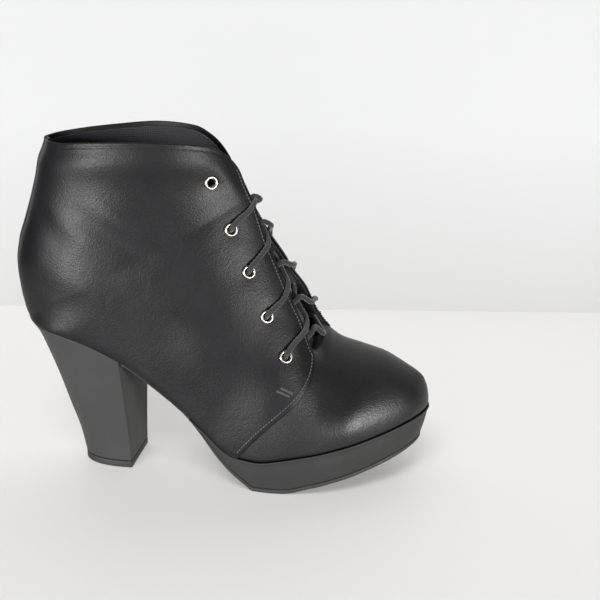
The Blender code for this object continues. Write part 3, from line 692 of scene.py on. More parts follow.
class Nodes:
    """Short hand for the node tree of a material or the world."""

    def __init__(self, owner, coordinates="Object"):
        owner.use_nodes = True
        self.owner = owner
        self.tree = owner.node_tree
        self.place = self.add("ShaderNodeTexCoord", coordinates)

    def plug(self, socket, value):
        """Link a socket to another node's output, or set it."""
        if isinstance(value, bpy.types.NodeSocket):
            self.tree.links.new(value, socket)
        else:
            socket.default_value = value

    def add(self, kind, output, **settings):
        """Output of a new node. Lower case settings are the node's own, the others its sockets'."""
        node = self.tree.nodes.new(kind)
        for key, value in settings.items():
            if key.islower():
                setattr(node, key, value)
            else:
                self.plug(node.inputs[key.replace("_", " ")], value)
        return node.outputs[output]

    def noise(self, scale, detail=3.0, roughness=0.5):
        return self.add("ShaderNodeTexNoise", "Fac", Vector=self.place, Scale=scale, Detail=detail,
                        Roughness=roughness)

    def part(self, direction="Z"):
        """One part of the coordinates, the height unless another is asked for."""
        return self.add("ShaderNodeSeparateXYZ", direction, Vector=self.place)

    def ramp(self, source, low, high, low_at, high_at, **settings):
        """Map a value between two stops to two numbers."""
        return self.add("ShaderNodeMapRange", "Result", Value=source, From_Min=low_at, From_Max=high_at,
                        To_Min=low, To_Max=high, **settings)

    def math(self, operation, *values):
        node = self.tree.nodes.new("ShaderNodeMath")
        node.operation = operation
        for socket, value in zip(node.inputs, values):
            self.plug(socket, value)
        return node.outputs["Value"]

    def mix(self, share, a, b):
        return self.add("ShaderNodeMix", "Result", data_type="RGBA", Factor=share, A=(*a, 1.0), B=(*b, 1.0))

    def bump(self, height, strength, distance, **settings):
        return self.add("ShaderNodeBump", "Normal", Height=height, Strength=strength, Distance=distance,
                        **settings)

    def shade(self, **values):
        """Set the Principled shader's sockets, and give back the material."""
        shader = self.tree.nodes["Principled BSDF"]
        for key, value in values.items():
            self.plug(shader.inputs[key.replace("_", " ")], value)
        return self.owner


def material_nodes(name):
    return Nodes(bpy.data.materials.new(name))


def leather_look(name, dark, light, gloss, grain, shine=0.31):
    """Smooth coated leather: fine grain, soft cloudy gloss, faint dust."""
    nodes = material_nodes(name)
    clouds = nodes.noise(38, 4.0, 0.55)
    fine = nodes.noise(1500, 3.0, 0.65)
    dust = nodes.math("MULTIPLY", nodes.ramp(fine, 0, 1, 0.30, 0.72), 0.45)
    color = nodes.mix(nodes.math("ADD", nodes.ramp(clouds, 0, 0.55, 0.35, 0.68), dust), dark, light)
    rough = nodes.math("ADD", nodes.ramp(clouds, gloss - 0.045, gloss + 0.06, 0.3, 0.7),
                       nodes.ramp(fine, -0.05, 0.07, 0.3, 0.7))
    pores = nodes.add("ShaderNodeTexVoronoi", "Distance", Vector=nodes.place, Scale=1100)
    height = nodes.math("ADD", nodes.ramp(pores, 0.0, 0.35, 0.0, 0.6), nodes.noise(620, 5.0, 0.62))
    normal = nodes.bump(height, grain, 0.00032)
    waves = nodes.bump(nodes.noise(70, 2.0, 0.5), 0.25, 0.0009, Normal=normal)
    return nodes.shade(Base_Color=color, Roughness=rough, Normal=waves, Specular_IOR_Level=shine)


def rubber_look(name, color):
    nodes = material_nodes(name)
    normal = nodes.bump(nodes.noise(1800, 3.0, 0.6), 0.35, 0.0001)
    rough = nodes.ramp(nodes.noise(90, 3.0), 0.55, 0.72, 0.35, 0.65)
    light = tuple(min(1.0, c * 1.5 + 0.004) for c in color)
    tint = nodes.mix(nodes.ramp(nodes.noise(55, 4.0), 0, 1, 0.4, 0.7), color, light)
    return nodes.shade(Base_Color=tint, Roughness=rough, Normal=normal, Specular_IOR_Level=0.35)


def cloth_look(name, dark, light, threads):
    """Fine knitted lining: crossing rows of yarn as bump and tint."""
    nodes = material_nodes(name)
    waves = [nodes.add("ShaderNodeTexWave", "Fac", Vector=nodes.place, bands_direction=direction,
                       Scale=threads, Distortion=1.5, Detail=1.0) for direction in ("X", "Z")]
    fuzz = nodes.math("MULTIPLY", nodes.noise(900, 4.0, 0.7), 0.6)
    height = nodes.math("ADD", nodes.math("MULTIPLY", *waves), fuzz)
    color = nodes.mix(nodes.ramp(height, 0, 1, 0.2, 1.1), dark, light)
    normal = nodes.bump(height, 0.5, 0.0002)
    return nodes.shade(Base_Color=color, Roughness=0.92, Normal=normal, Sheen_Weight=0.25,
                       Specular_IOR_Level=0.2)


def nickel_look(name):
    nodes = material_nodes(name)
    worn = nodes.noise(160, 3.0, 0.5)
    rough = nodes.ramp(worn, 0.30, 0.42, 0.3, 0.75)
    color = nodes.mix(nodes.ramp(worn, 0, 1, 0.35, 0.8), (0.42, 0.395, 0.345), (0.30, 0.28, 0.245))
    return nodes.shade(Base_Color=color, Roughness=rough, Metallic=1.0)


def cord_look(name, dark, light):
    nodes = material_nodes(name)
    fibres = nodes.noise(3800, 3.0, 0.7)
    color = nodes.mix(nodes.ramp(fibres, 0, 1, 0.3, 0.75), dark, light)
    normal = nodes.bump(fibres, 0.4, 0.0001)
    return nodes.shade(Base_Color=color, Roughness=0.85, Normal=normal, Sheen_Weight=0.3,
                       Specular_IOR_Level=0.25)


# The quarters take a darker copy of the vamp's leather; their lower colour is painted shade.
SHADED_QUARTER_LEATHER = leather_look("leather_upper_shaded", (0.0028, 0.0024, 0.0030), (0.0060, 0.0053, 0.0062), 0.42, 0.40, 0.20)
VAMP_LEATHER = leather_look("leather_vamp", (0.0048, 0.0042, 0.0047), (0.0092, 0.0084, 0.0090), 0.41, 0.50)
PLATFORM_LEATHER = leather_look("leather_platform", (0.0125, 0.0127, 0.0126), (0.0175, 0.0177, 0.0175), 0.58,
                                0.20)
HEEL_LEATHER = leather_look("leather_heel", (0.0190, 0.0192, 0.0190), (0.0255, 0.0257, 0.0253), 0.58, 0.20)
# The tongue's cloth is near black: partly its own black cloth, partly painted shade for the dark throat
# between the facings.
SHADED_TONGUE_CLOTH = cloth_look("tongue_black_shaded", (0.002, 0.002, 0.002), (0.006, 0.006, 0.006), 520)
THREAD = cord_look("thread_black", (0.026, 0.026, 0.027), (0.085, 0.085, 0.085))
RUBBER = rubber_look("rubber_black", (0.012, 0.012, 0.012))
LINING = cloth_look("lining_black", (0.006, 0.006, 0.009), (0.036, 0.036, 0.044), 300)
SOCK = cloth_look("sock_black", (0.008, 0.008, 0.009), (0.024, 0.024, 0.026), 400)
NICKEL = nickel_look("nickel_plate")
CORD = cord_look("cord_black", (0.005, 0.0053, 0.0053), (0.020, 0.021, 0.021))


# The upper

QUARTER_THICKNESS = 0.0012
COLLAR_FOLD = 0.0018
LINING_THICKNESS = 0.0009
LINING_DROP_ROWS = 4
LINING_GAP = 0.00005
QUARTER_ROWS = 78
VAMP_ROWS = 64
LINING_ROWS = 40
CREASE_REACH = 3
EYELET_PULL_REACH = 2.5
GROOVE_DEPTH = 0.00018
GROOVE_WIDTH = 0.0005
SWELLING = 0.0012
SWELLING_DOWN = 0.0105
SWELLING_WIDTH = 0.0075
COLLAR_REACH = 0.030
FEATHER_TUCK = 0.0003
EYELET_DISH = 0.00045
EYELET_DISH_REACH = 0.0062


def eyelet_places():
    """Name, centre and outward normal of each eyelet."""
    places = []
    for side, word in ((-1, "lateral"), (1, "medial")):
        for k, (angle, across) in enumerate(EYELET_ROWS, 1):
            here, normal = throat_frame(side_angle(angle, side), side * across * BALL_WIDTH)
            places.append((f"{word}_{k}", here, normal))
    return places


EYELETS = eyelet_places()


def crease_depth(point):
    """How far the leather is sunk at a point by the creases and the eyelets' pull."""
    sunk = 0.0
    side = -1 if point.y < 0 else 1
    edge = smooth_step(abs(point.y) / 0.010)
    for row in CREASES:
        if row[0] != side:
            continue
        start = Vector((row[1] * LENGTH, row[2] * SHAFT_TOP))
        run = Vector((row[3] * LENGTH, row[4] * SHAFT_TOP)) - start
        here = Vector((point.x, point.z)) - start
        share = here.dot(run) / run.length_squared
        middle = min(1.0, max(0.0, share))
        gap = (here - run * middle).length / row[5]
        if gap > CREASE_REACH:
            continue
        bulge = math.sin(math.pi * min(1.0, max(0.0, 0.12 + 0.76 * middle)))
        sunk += row[6] * math.exp(-gap * gap) * bulge * edge
    for _, place, _ in EYELETS:
        gap = (point - place).length / EYELET_DISH_REACH
        if gap < EYELET_PULL_REACH:
            sunk += EYELET_DISH * math.exp(-gap * gap)
    return sunk


def collar_fold_depth(point):
    """Along the collar's folded edge: a fine groove below it and a soft swelling."""
    side = -1 if point.y < 0 else 1
    start, _ = back_points[1]
    end = facing_edge(FACING_TOP_ANGLE[-1], side)[0]
    share = (point.x - start) / (end - start)
    down = float(collar_edge(min(1.0, max(0.0, share)), side)[1]) - point.z
    if share > 1.02 or down > COLLAR_REACH:
        return 0.0
    fade = smooth_step((1.02 - share) / 0.12)
    groove = GROOVE_DEPTH * math.exp(-((down - COLLAR_FOLD) / GROOVE_WIDTH) ** 2)
    swelling = SWELLING * math.exp(-((down - SWELLING_DOWN) / SWELLING_WIDTH) ** 2)
    return (groove - swelling) * fade


FOOT_SWELL = 0.0014
foot_swell = Curve(((0.0, 0.35), (0.0012, 0.80), (0.0032, 1.0), (0.0070, 0.75), (0.0160, 0.20),
                    (0.0240, 0.0)))


def swell(point):
    """How far the leather stands out above the feather line, least round the heel."""
    ahead = 0.25 + 0.75 * smooth_step((point.x - 0.22 * LENGTH) / (0.18 * LENGTH))
    return FOOT_SWELL * ahead * float(foot_swell(point.z - float(feather_z(point.x))))


def sink(shape):
    """Press creases into an open surface, and lean the medial facing in."""
    shape.normal_update()
    moves = [(vert, vert.normal * (crease_depth(vert.co) + collar_fold_depth(vert.co) - swell(vert.co))
              - flap_fall(vert.co))
             for vert in shape.verts]
    for vert, move in moves:
        vert.co = vert.co - move


def tuck_feet(grid):
    """Draw the foot of each column in a little, so that the edge sits behind the bead."""
    rows = np.arange(grid.shape[1])[None, :, None]
    fade = np.clip(1 - rows / 3.0, 0, 1) ** 2
    centre = np.array([0.45 * LENGTH, 0.0, 0.0])
    toward = centre - grid
    toward[..., 2] = 0
    toward = toward / np.maximum(1e-9, np.linalg.norm(toward, axis=-1, keepdims=True))
    return grid + toward * FEATHER_TUCK * fade


def eyelet_cutter():
    """All eyelet holes as one set of cylinders."""
    shape = bmesh.new()
    radius = EYELET_BORE / 2 + EYELET_BARREL_WALL
    for _, place, normal in EYELETS:
        turn = normal.to_track_quat("Z", "Y").to_matrix().to_4x4()
        bmesh.ops.create_cone(shape, cap_ends=True, segments=32, radius1=radius, radius2=radius,
                              depth=WALL * 5, matrix=Matrix.Translation(place) @ turn)
    return mesh_object("eyelet_holes", on_origin(shape))


def cut_eyelets(thing):
    cutter = eyelet_cutter()
    hole = thing.modifiers.new("eyelet_holes", "BOOLEAN")
    hole.operation = "DIFFERENCE"
    hole.object = cutter
    apply_modifiers(thing)
    bpy.data.objects.remove(cutter, do_unlink=True)


def build_quarters():
    """Quarters with their holes. Gives back their outer surface, for the stitches."""
    shape = weld([tuck_feet(quarter_grid(side, QUARTER_ROWS)) for side in (-1, 1)])
    sink(shape)
    outer = shape.copy()
    sheet = shell(shape, 0.0, QUARTER_THICKNESS)
    cut_eyelets(finish_object("quarters", sheet, SHADED_QUARTER_LEATHER, ("upper",)))
    return outer


def throat_fall(point):
    """How far the vamp runs down below the facings, where it turns into the tongue."""
    before = max(0.0, VAMP_FALL_FROM - float(fan_angle(point[0], point[2])))
    outside = 1 - smooth_step((-point[1] - 0.004) / 0.015)
    inside = 1 - smooth_step((point[1] - 0.010) / 0.014)
    return min(VAMP_FALL_LIMIT, VAMP_FALL_RATE * before ** 2) * outside * inside


TOE_FULLNESS = 0.0026
TOE_BOX_FROM = 0.84 * LENGTH
toe_fullness = Curve(((0.0, 0.0), (0.0030, 0.35), (0.0075, 0.85), (0.0140, 1.25), (0.0190, 1.15),
                      (0.0250, 0.55), (0.0300, 0.2)))


def toe_push(point):
    """How far the toe box swells forward over the platform's edge."""
    ahead = smooth_step((point.x - TOE_BOX_FROM) / (LENGTH - TOE_BOX_FROM))
    above = point.z - float(feather_z(point.x))
    return Vector((1, 0, 0)) * TOE_FULLNESS * ahead * float(toe_fullness(above))


def build_vamp():
    shape = weld([tuck_feet(vamp_grid(side, VAMP_ROWS)) for side in (-1, 1)])
    for vert in shape.verts:
        fall = toward_hub(float(fan_angle(vert.co.x, vert.co.z))) * throat_fall(vert.co)
        vert.co = vert.co - fall + toe_push(vert.co) + vert.normal * swell(vert.co)
    finish_object("vamp", shell(shape, -QUARTER_STEP, WALL - QUARTER_STEP), VAMP_LEATHER)


def build_lining():
    shape = weld([quarter_grid(side, LINING_ROWS, 40, 48)[:, :-LINING_DROP_ROWS] for side in (-1, 1)])
    sink(shape)
    sheet = shell(shape, -QUARTER_THICKNESS - LINING_GAP, LINING_THICKNESS, 4)
    cut_eyelets(finish_object("lining", sheet, LINING))


# The sole

def plan_normal(x, side):
    """Outward direction of the plan outline."""
    step = 0.00002
    ahead = np.minimum(x + step, LENGTH)
    behind = ahead - 2 * step
    slope = (outline_y(ahead, side) - outline_y(behind, side)) / (2 * step)
    length = np.hypot(slope, 1.0)
    return np.stack((-slope * side / length, side / length), axis=-1)


def stations(start, end, count):
    """Lengths along the sole, crowded where the outline rounds off at the toe."""
    bend = LENGTH - TOE_ROUND * 0.8
    straight = np.linspace(start, bend, count, endpoint=False)
    turns = np.linspace(0, math.pi / 2, count // 2 + 1)
    return np.concatenate((straight, end - (end - bend) * (1 - np.sin(turns))))


def leaned(x, side):
    """Foot of the platform's side: drawn in all round, most at the toe."""
    toe_share = np.maximum(0.0, (x - 0.75 * LENGTH) / (0.25 * LENGTH))
    under_x = x - TOE_LEAN * toe_share ** 2
    centre = outline_centre(x)
    return under_x, centre + (outline_y(x, side) - centre) * (1 - 2 * PLATFORM_LEAN / BALL_WIDTH)


def platform_start():
    x = SHANK_END
    while feather_z(x) - underside_z(x) - OUTSOLE_THICKNESS - 2 * CLEARANCE < PLATFORM_THIN:
        x += 0.0002
    return x


BEAD_RADIUS = 0.00055
BEAD_RISE = 0.0005
PLATFORM_FULL = 0.0004
PLATFORM_CORNER = 0.0006
PLATFORM_INNER = 0.0012
PLATFORM_SINK = 0.0008


def build_platform():
    """Covered platform: soft lower edge, gently full side and a folded bead round its top."""
    xs = stations(platform_start(), LENGTH, 150)
    shares = np.concatenate(([0.0, 0.02, 0.06], np.linspace(0.12, 0.90, 9)))
    rings = []
    for x in xs:
        ring = []
        for side in (-1, 1):
            out = plan_normal(np.array([x]), side)[0]
            under_x, under_y = leaned(x, side)
            top = np.array([x, outline_y(x, side), feather_z(x) - CLEARANCE])
            top[:2] += out * PLATFORM_EDGE * 0.7
            under = np.array([under_x, under_y, underside_z(under_x) + OUTSOLE_THICKNESS + 0.00005])
            height = top[2] - under[2]
            bead = min(1.0, height / 0.004)
            line = []
            for share in shares:
                point = under + (top - under) * share
                full = PLATFORM_FULL * math.sin(math.pi * share)
                corner = PLATFORM_CORNER * max(0.0, 1 - share / 0.06) ** 2
                point[:2] += out * (full - corner)
                line.append(point)
            middle = top + np.array([*(out * BEAD_RADIUS * 0.2), BEAD_RISE * bead - BEAD_RADIUS])
            for turn in np.linspace(-60, 150, 9):
                swing = math.radians(turn)
                point = middle.copy()
                point[:2] += out * BEAD_RADIUS * math.cos(swing)
                point[2] += BEAD_RADIUS * math.sin(swing)
                line.append(point)
            inner = top.copy()
            inner[:2] -= out * PLATFORM_INNER
            inner[2] -= PLATFORM_SINK
            line.append(inner)
            ring.extend(line if side < 0 else line[::-1])
        rings.append([Vector(point) for point in ring])
    finish_object("platform_cover", loft(rings), PLATFORM_LEATHER, ("platform",), sharp=75)


OUTSOLE_SIDE = (
    # share of the height, inset
    (0.0, 0.0007),
    (0.06, 0.00025),
    (0.2, 0.0),
    (0.8, 0.0),
    (0.94, 0.0002),
    (1.0, 0.0006),
)


def build_outsole():
    start = BREAST_AT + HEEL_BREAST_LEAN + CLEARANCE
    rings = []
    for x in stations(start, LENGTH, 160):
        ring = []
        square = min(1.0, (x - start) / (SHANK_END - BREAST_AT))
        for side in (-1, 1):
            out = plan_normal(np.array([x]), side)[0]
            under_x, under_y = leaned(x, side)
            under_x = under_x + HEEL_BREAST_TURN * under_y * (1 - square)
            line = []
            for share, inset in OUTSOLE_SIDE:
                z = underside_z(under_x) + OUTSOLE_THICKNESS * share
                line.append(Vector((under_x - out[0] * inset, under_y - out[1] * inset, z)))
            ring.extend(line if side < 0 else line[::-1])
        rings.append(ring)
    finish_object("outsole_sheet", loft(rings), RUBBER, ("outsole",), sharp=60)


SOCK_RIM = 0.0008
SOCK_HOLLOW = 0.0006


def build_insole():
    """Sock over the insole board, with a slightly raised rounded edge."""
    inset = WALL + CLEARANCE
    end = LENGTH - inset
    rear = SEAT_BACK + inset
    bend = rear + HEEL_ROUND * 0.8
    turns = np.linspace(0, math.pi / 2, 24)
    back = bend - (bend - rear) * np.cos(turns)
    xs = np.concatenate((back, stations(bend, end, 70)[1:]))
    across = np.linspace(-1, 1, 25)
    rings = []
    for x in xs:
        top = []
        bottom = []
        for share in across:
            side = -1 if share < 0 else 1
            edge = outline_y(x, side, inset) - outline_centre(x)
            y = outline_centre(x) + edge * abs(share)
            rim = SOCK_RIM * smooth_step((1 - abs(share)) / 0.15)
            crown = rim - SOCK_HOLLOW * math.cos(share * math.pi / 2) ** 2
            top.append(Vector((x, y, feather_z(x) + INSOLE_THICKNESS - SOCK_RIM + crown)))
            bottom.append(Vector((x, y, feather_z(x))))
        rings.append(top + bottom[::-1])
    finish_object("insole_sock", loft(rings), SOCK, ("insole",))


# The heel

heel_back_line = Curve(((0.0, 1.0), (0.17, 0.905), (0.38, 0.715), (0.59, 0.53), (0.80, 0.315), (0.92, 0.170),
                        (1.0, 0.0)))


HEEL_RINGS = 44
HEEL_EDGE = 0.0005
TOP_PIECE_EDGE = 0.00035
BREAST_HOLLOW = 0.0004


def heel_ring(rise, count=64, breast_steps=14):
    """Plan ring of the heel at a share of its rise, round the back and across the breast."""
    back = SEAT_BACK + (HEEL_TIP_BACK - SEAT_BACK) * float(heel_back_line(rise))
    breast = BREAST_AT + HEEL_BREAST_LEAN * (1 - rise)
    foot = TOP_PIECE_THICKNESS + CLEARANCE
    ring = []
    for k in range(count + 1):
        turn = math.pi * (k / count - 0.5)
        share = 1 - math.cos(turn)
        x = back + (breast - back) * share
        side = -1 if turn < 0 else 1
        seat_x = SEAT_BACK + (BREAST_AT - SEAT_BACK) * share
        seat = float(outline_y(seat_x, side))
        tip = side * HEEL_TIP_WIDTH / 2 * max(0.0, 1 - (1 - share) ** 2.5) ** 0.5
        blend = rise ** 1.25
        y = tip * (1 - blend) + seat * blend
        ring.append([x + HEEL_BREAST_TURN * y * share ** 2, y])
    first, last = ring[-1], ring[0]
    for k in range(1, breast_steps):
        share = k / breast_steps
        hollow = BREAST_HOLLOW * math.sin(math.pi * share) * rise
        x, y = (a + (b - a) * share for a, b in zip(first, last))
        ring.append([x - hollow, y])
    points = []
    for x, y in ring:
        seat_x = SEAT_BACK + (BREAST_AT - SEAT_BACK) * (x - back) / (breast - back)
        points.append(Vector((x, y, foot + (float(feather_z(seat_x)) - CLEARANCE - foot) * rise)))
    return points


def round_edges(thing, width, angle, segments=3):
    bevel = thing.modifiers.new("edges", "BEVEL")
    bevel.width = width
    bevel.segments = segments
    bevel.limit_method = "ANGLE"
    bevel.angle_limit = math.radians(angle)
    apply_modifiers(thing)
    thing.data.shade_smooth()


def build_heel():
    rings = [heel_ring(k / HEEL_RINGS) for k in range(HEEL_RINGS + 1)]
    heel = finish_object("heel_cover", loft(rings), HEEL_LEATHER, ("heel",))
    round_edges(heel, HEEL_EDGE, 50)
    foot = heel_ring(0.0)
    rings = [[Vector((p.x, p.y, z)) for p in foot] for z in (0.0, TOP_PIECE_THICKNESS - 0.0001)]
    lift = finish_object("top_piece_rubber", loft(rings), RUBBER, ("heel_top_piece",))
    round_edges(lift, TOP_PIECE_EDGE, 50)


# The tongue

tongue_depth = Curve((
    (10.0, 0.0065), (30.0, 0.0085), (60.0, 0.0090), (72.0, 0.0115), (79.0, 0.0155),
    (82.0, 0.0105), (84.0, 0.0066), (86.0, 0.0046), (88.0, 0.0038), (92.0, 0.0036),
))


def build_tongue():
    """Tongue under the facings, fallen back as in the empty boot."""
    rows, steps = 60, 28
    top = FACING_TOP_ANGLE[1] + 1.0
    bottom = THROAT_ANGLE + TONGUE_TUCK
    grid = []
    for i in range(rows + 1):
        angle = top + (bottom - top) * i / rows
        corner = min(1.0, 0.72 + 0.28 * (i / rows * 9))
        line = []
        for k in range(steps + 1):
            across = TONGUE_WIDTH / 2 * corner * (2 * k / steps - 1)
            here = throat_surface(angle, across or 1e-5)
            line.append(here - toward_hub(angle) * float(tongue_depth(angle)))
        grid.append(line)
    shape = weld([grid])
    finish_object("tongue_sheet", shell(shape, 0.0, TONGUE_THICKNESS), SHADED_TONGUE_CLOTH, ("tongue",))


# Eyelets

EYELET_PROFILE = (
    # radius in eyelet radii, height in metres over the leather
    (0.58, -0.0024),
    (0.58, -0.0002),
    (0.60, 0.0004),
    (0.65, 0.0008),
    (0.74, 0.0010),
    (0.86, 0.0010),
    (0.94, 0.0007),
    (0.99, 0.0003),
    (1.00, 0.0000),
    (0.99, -0.0004),
    (0.86, -0.0004),
    (0.70, -0.0004),
    (0.70, -0.0024),
)
EYELET_LIFT = 0.0001


def build_eyelets():
    """Rolled rings, with their barrels down through the facing."""
    segments = 56
    radius = EYELET_DIAMETER / 2
    for name, place, normal in EYELETS:
        turn = normal.to_track_quat("Z", "Y").to_matrix().to_4x4()
        matrix = Matrix.Translation(place + normal * EYELET_LIFT) @ turn
        rings = []
        for k in range(segments):
            turn = 2 * math.pi * k / segments
            rings.append([
                matrix @ Vector((share * radius * math.cos(turn), share * radius * math.sin(turn), height))
                for share, height in EYELET_PROFILE
            ])
        shape = loft(rings + [rings[0]], close_ends=False)
        finish_object(f"eyelet_ring_{name}", shape, NICKEL, (f"eyelet_{name}",))


# The lace

# Each strand rises through its eyelet, crosses its facing's edge and the gap, and dips under the other side.
NEAR_STRANDS = {
    # row: stops of section angle, distance across in mm, height over the leather in mm
    5: ((73.7, -29.5, -3.6), (73.7, -29.4, -0.6), (73.7, -28.0, 2.2), (74.6, -24.3, 1.6), (75.8, -19.6, 1.7),
        (76.6, -14.6, 1.1), (76.5, -9.8, -0.5), (75.2, -7.6, -2.6), (73.6, -5.0, -5.0), (70.8, 3.0, -7.5),
        (67.0, 14.0, -6.0)),
    4: ((64.6, -23.7, -3.6), (64.6, -23.6, -0.6), (64.5, -22.5, 2.2), (65.5, -20.0, 1.6), (66.6, -16.5, 1.7),
        (66.8, -12.1, 1.1), (66.2, -8.8, -0.4), (64.4, -6.8, -2.4), (62.4, -4.0, -4.6), (59.0, 3.0, -6.8),
        (54.5, 11.0, -5.6)),
    3: ((51.9, -20.1, -3.6), (51.9, -20.0, -0.6), (51.2, -18.8, 2.2), (51.3, -16.6, 1.6), (51.4, -13.2, 1.7),
        (51.2, -9.3, 1.1), (49.8, -7.0, -0.3), (47.8, -5.6, -2.2), (45.4, -3.4, -4.2), (42.0, 2.0, -6.2),
        (38.5, 9.0, -5.2)),
    2: ((36.2, -18.1, -3.6), (36.2, -18.0, -0.6), (35.3, -17.1, 2.2), (34.8, -15.5, 1.6), (34.5, -12.8, 1.7),
        (34.1, -10.2, 1.6), (33.0, -6.8, 0.3), (31.6, -3.8, -2.0), (28.6, 1.0, -4.6), (23.0, 8.0, -4.2),
        (18.5, 14.0, -4.2)),
}
FAR_STRANDS = {
    5: ((73.7, 29.5, -3.6), (73.7, 29.4, -0.6), (73.7, 28.0, 2.2), (74.0, 22.0, 1.6), (74.3, 15.6, 1.8),
        (74.0, 10.0, 1.0), (73.6, 2.0, 0.0), (73.0, -5.5, -0.8), (71.4, -11.5, -2.2), (68.8, -17.5, -4.2)),
    4: ((64.6, 23.7, -3.6), (64.6, 23.6, -0.6), (64.4, 22.5, 2.2), (63.8, 17.0, 1.6), (62.9, 12.4, 1.8),
        (62.6, 7.5, 1.0), (62.0, 0.5, 0.1), (61.3, -5.0, -0.8), (59.8, -9.2, -2.2), (56.9, -13.5, -4.2)),
    3: ((51.9, 20.1, -3.6), (51.9, 20.0, -0.6), (51.0, 18.8, 2.2), (48.5, 14.0, 1.6), (45.6, 9.6, 1.6),
        (44.9, 6.0, 0.5), (44.4, 1.0, -0.8), (43.8, -4.0, -1.6), (42.8, -7.5, -2.6), (40.4, -12.0, -4.2)),
    2: ((36.2, 18.1, -3.6), (36.2, 18.0, -0.6), (35.2, 16.8, 2.2), (33.2, 12.0, 1.6), (31.4, 7.9, 1.6),
        (31.0, 4.8, 0.5), (30.8, 1.0, -0.9), (30.6, -3.0, -1.6), (30.0, -6.6, -2.6), (26.0, -11.0, -4.2),
        (20.5, -15.0, -4.2)),
}
BOTTOM_BAR = (
    (77.0, -21.0, -4.2), (78.4, -15.8, -1.6), (79.3, -10.5, -0.7), (80.0, -5.0, -0.7), (80.2, 1.0, -1.6),
    (79.4, 9.0, -3.6), (77.0, 20.0, -4.2),
)
MILLIMETRE = 0.001


def throat_place(angle, across, height):
    """Point over the throat, at a lateral section angle, with millimetres across and up."""
    across = (across or 0.01) * MILLIMETRE
    here, normal = throat_frame(side_angle(angle, -1 if across < 0 else 1), across)
    return here + normal * height * MILLIMETRE


def lace_half(first_side):
    """Stops of one half of the lace, from the bottom bar up to its hidden end."""
    stops = []
    side = first_side
    for row in range(len(EYELET_ROWS), 1, -1):
        stops.extend((NEAR_STRANDS if side < 0 else FAR_STRANDS)[row])
        side = -side
    return [throat_place(*stop) for stop in stops]


def smooth_path(points, spacing):
    """Evenly spaced points on a smooth curve through the stops."""
    points = np.array([tuple(p) for p in points])
    ends = np.concatenate(([2 * points[0] - points[1]], points, [2 * points[-1] - points[-2]]))
    dense = []
    for i in range(1, len(ends) - 2):
        a, b, c, d = ends[i - 1], ends[i], ends[i + 1], ends[i + 2]
        for t in np.linspace(0, 1, 24, endpoint=False):
            dense.append(0.5 * (2 * b + (c - a) * t + (2 * a - 5 * b + 4 * c - d) * t ** 2
                                + (3 * b - a - 3 * c + d) * t ** 3))
    dense.append(points[-1])
    dense = np.array(dense)
    lengths = lengths_along(dense)
    count = max(2, int(lengths[-1] / spacing))
    marks = np.linspace(0, lengths[-1], count + 1)
    return np.stack([np.interp(marks, lengths, dense[:, k]) for k in range(3)], axis=-1)


def sweep(path, radius_at, sides):
    """Closed tube along a path, whose radius may change along and around it."""
    rings = []
    normal = Vector((0.31, 0.11, 0.94))
    points = [Vector(p) for p in path]
    for i, here in enumerate(points):
        tangent = (points[min(i + 1, len(points) - 1)] - points[max(i - 1, 0)]).normalized()
        normal = (normal - tangent * normal.dot(tangent)).normalized()
        across = tangent.cross(normal)
        ring = []
        for k in range(sides):
            turn = 2 * math.pi * k / sides
            radius = radius_at(i, turn)
            ring.append(here + (normal * math.cos(turn) + across * math.sin(turn)) * radius)
        rings.append(ring)
    return loft(rings)


def braid_radius(spacing, carriers=8, pitch=0.0046, depth=0.00013):
    """Radius of a braided cord: two sets of strands that cross over and under."""
    base = LACE_DIAMETER / 2 - depth

    def radius_at(i, turn):
        along = 2 * math.pi * i * spacing / pitch
        right = 0.5 + 0.5 * math.cos(carriers * turn / 2 + along * 2)
        left = 0.5 + 0.5 * math.cos(carriers * turn / 2 - along * 2)
        return base + 2 * depth * max(right ** 2, left ** 2)
    return radius_at


LACE_STEP = 0.00030
LACE_SIDES = 16


def build_lace():
    """One cord: out from the bottom bar to both sides and up through the used eyelets."""
    bar = [throat_place(*stop) for stop in BOTTOM_BAR]
    route = lace_half(-1)[::-1] + bar + lace_half(1)
    shape = sweep(smooth_path(route, LACE_STEP), braid_radius(LACE_STEP), LACE_SIDES)
    crossings = [f"lace_crossing_{k}" for k in range(1, len(EYELET_ROWS))]
    finish_object("lace_cord", shape, CORD, ("lace_bar", *crossings))


# Stitches

def laid_on(tree, path):
    """Nearest points of a surface, with their normals."""
    return [tree.find_nearest(Vector(point))[:2] for point in path]


def edge_path(shape, keep, inset):
    """Runs of points a given distance inside the rim of an open surface, with their normals."""
    tree = BVHTree.FromBMesh(shape)
    away = rim_directions(shape)
    neighbours = {vert: [] for vert in away if keep(vert.co)}
    for edge in shape.edges:
        a, b = edge.verts
        if edge.is_boundary and a in neighbours and b in neighbours:
            neighbours[a].append(b)
            neighbours[b].append(a)
    runs = []
    used = set()
    for start, beside in neighbours.items():
        if len(beside) != 1 or start in used:
            continue
        run = []
        vert = start
        while vert is not None:
            used.add(vert)
            run.append(vert.co - away[vert] * inset)
            vert = next((one for one in neighbours[vert] if one not in used), None)
        runs.append(run)
    return [laid_on(tree, smooth_path(run, STITCH_STEP)) for run in runs]


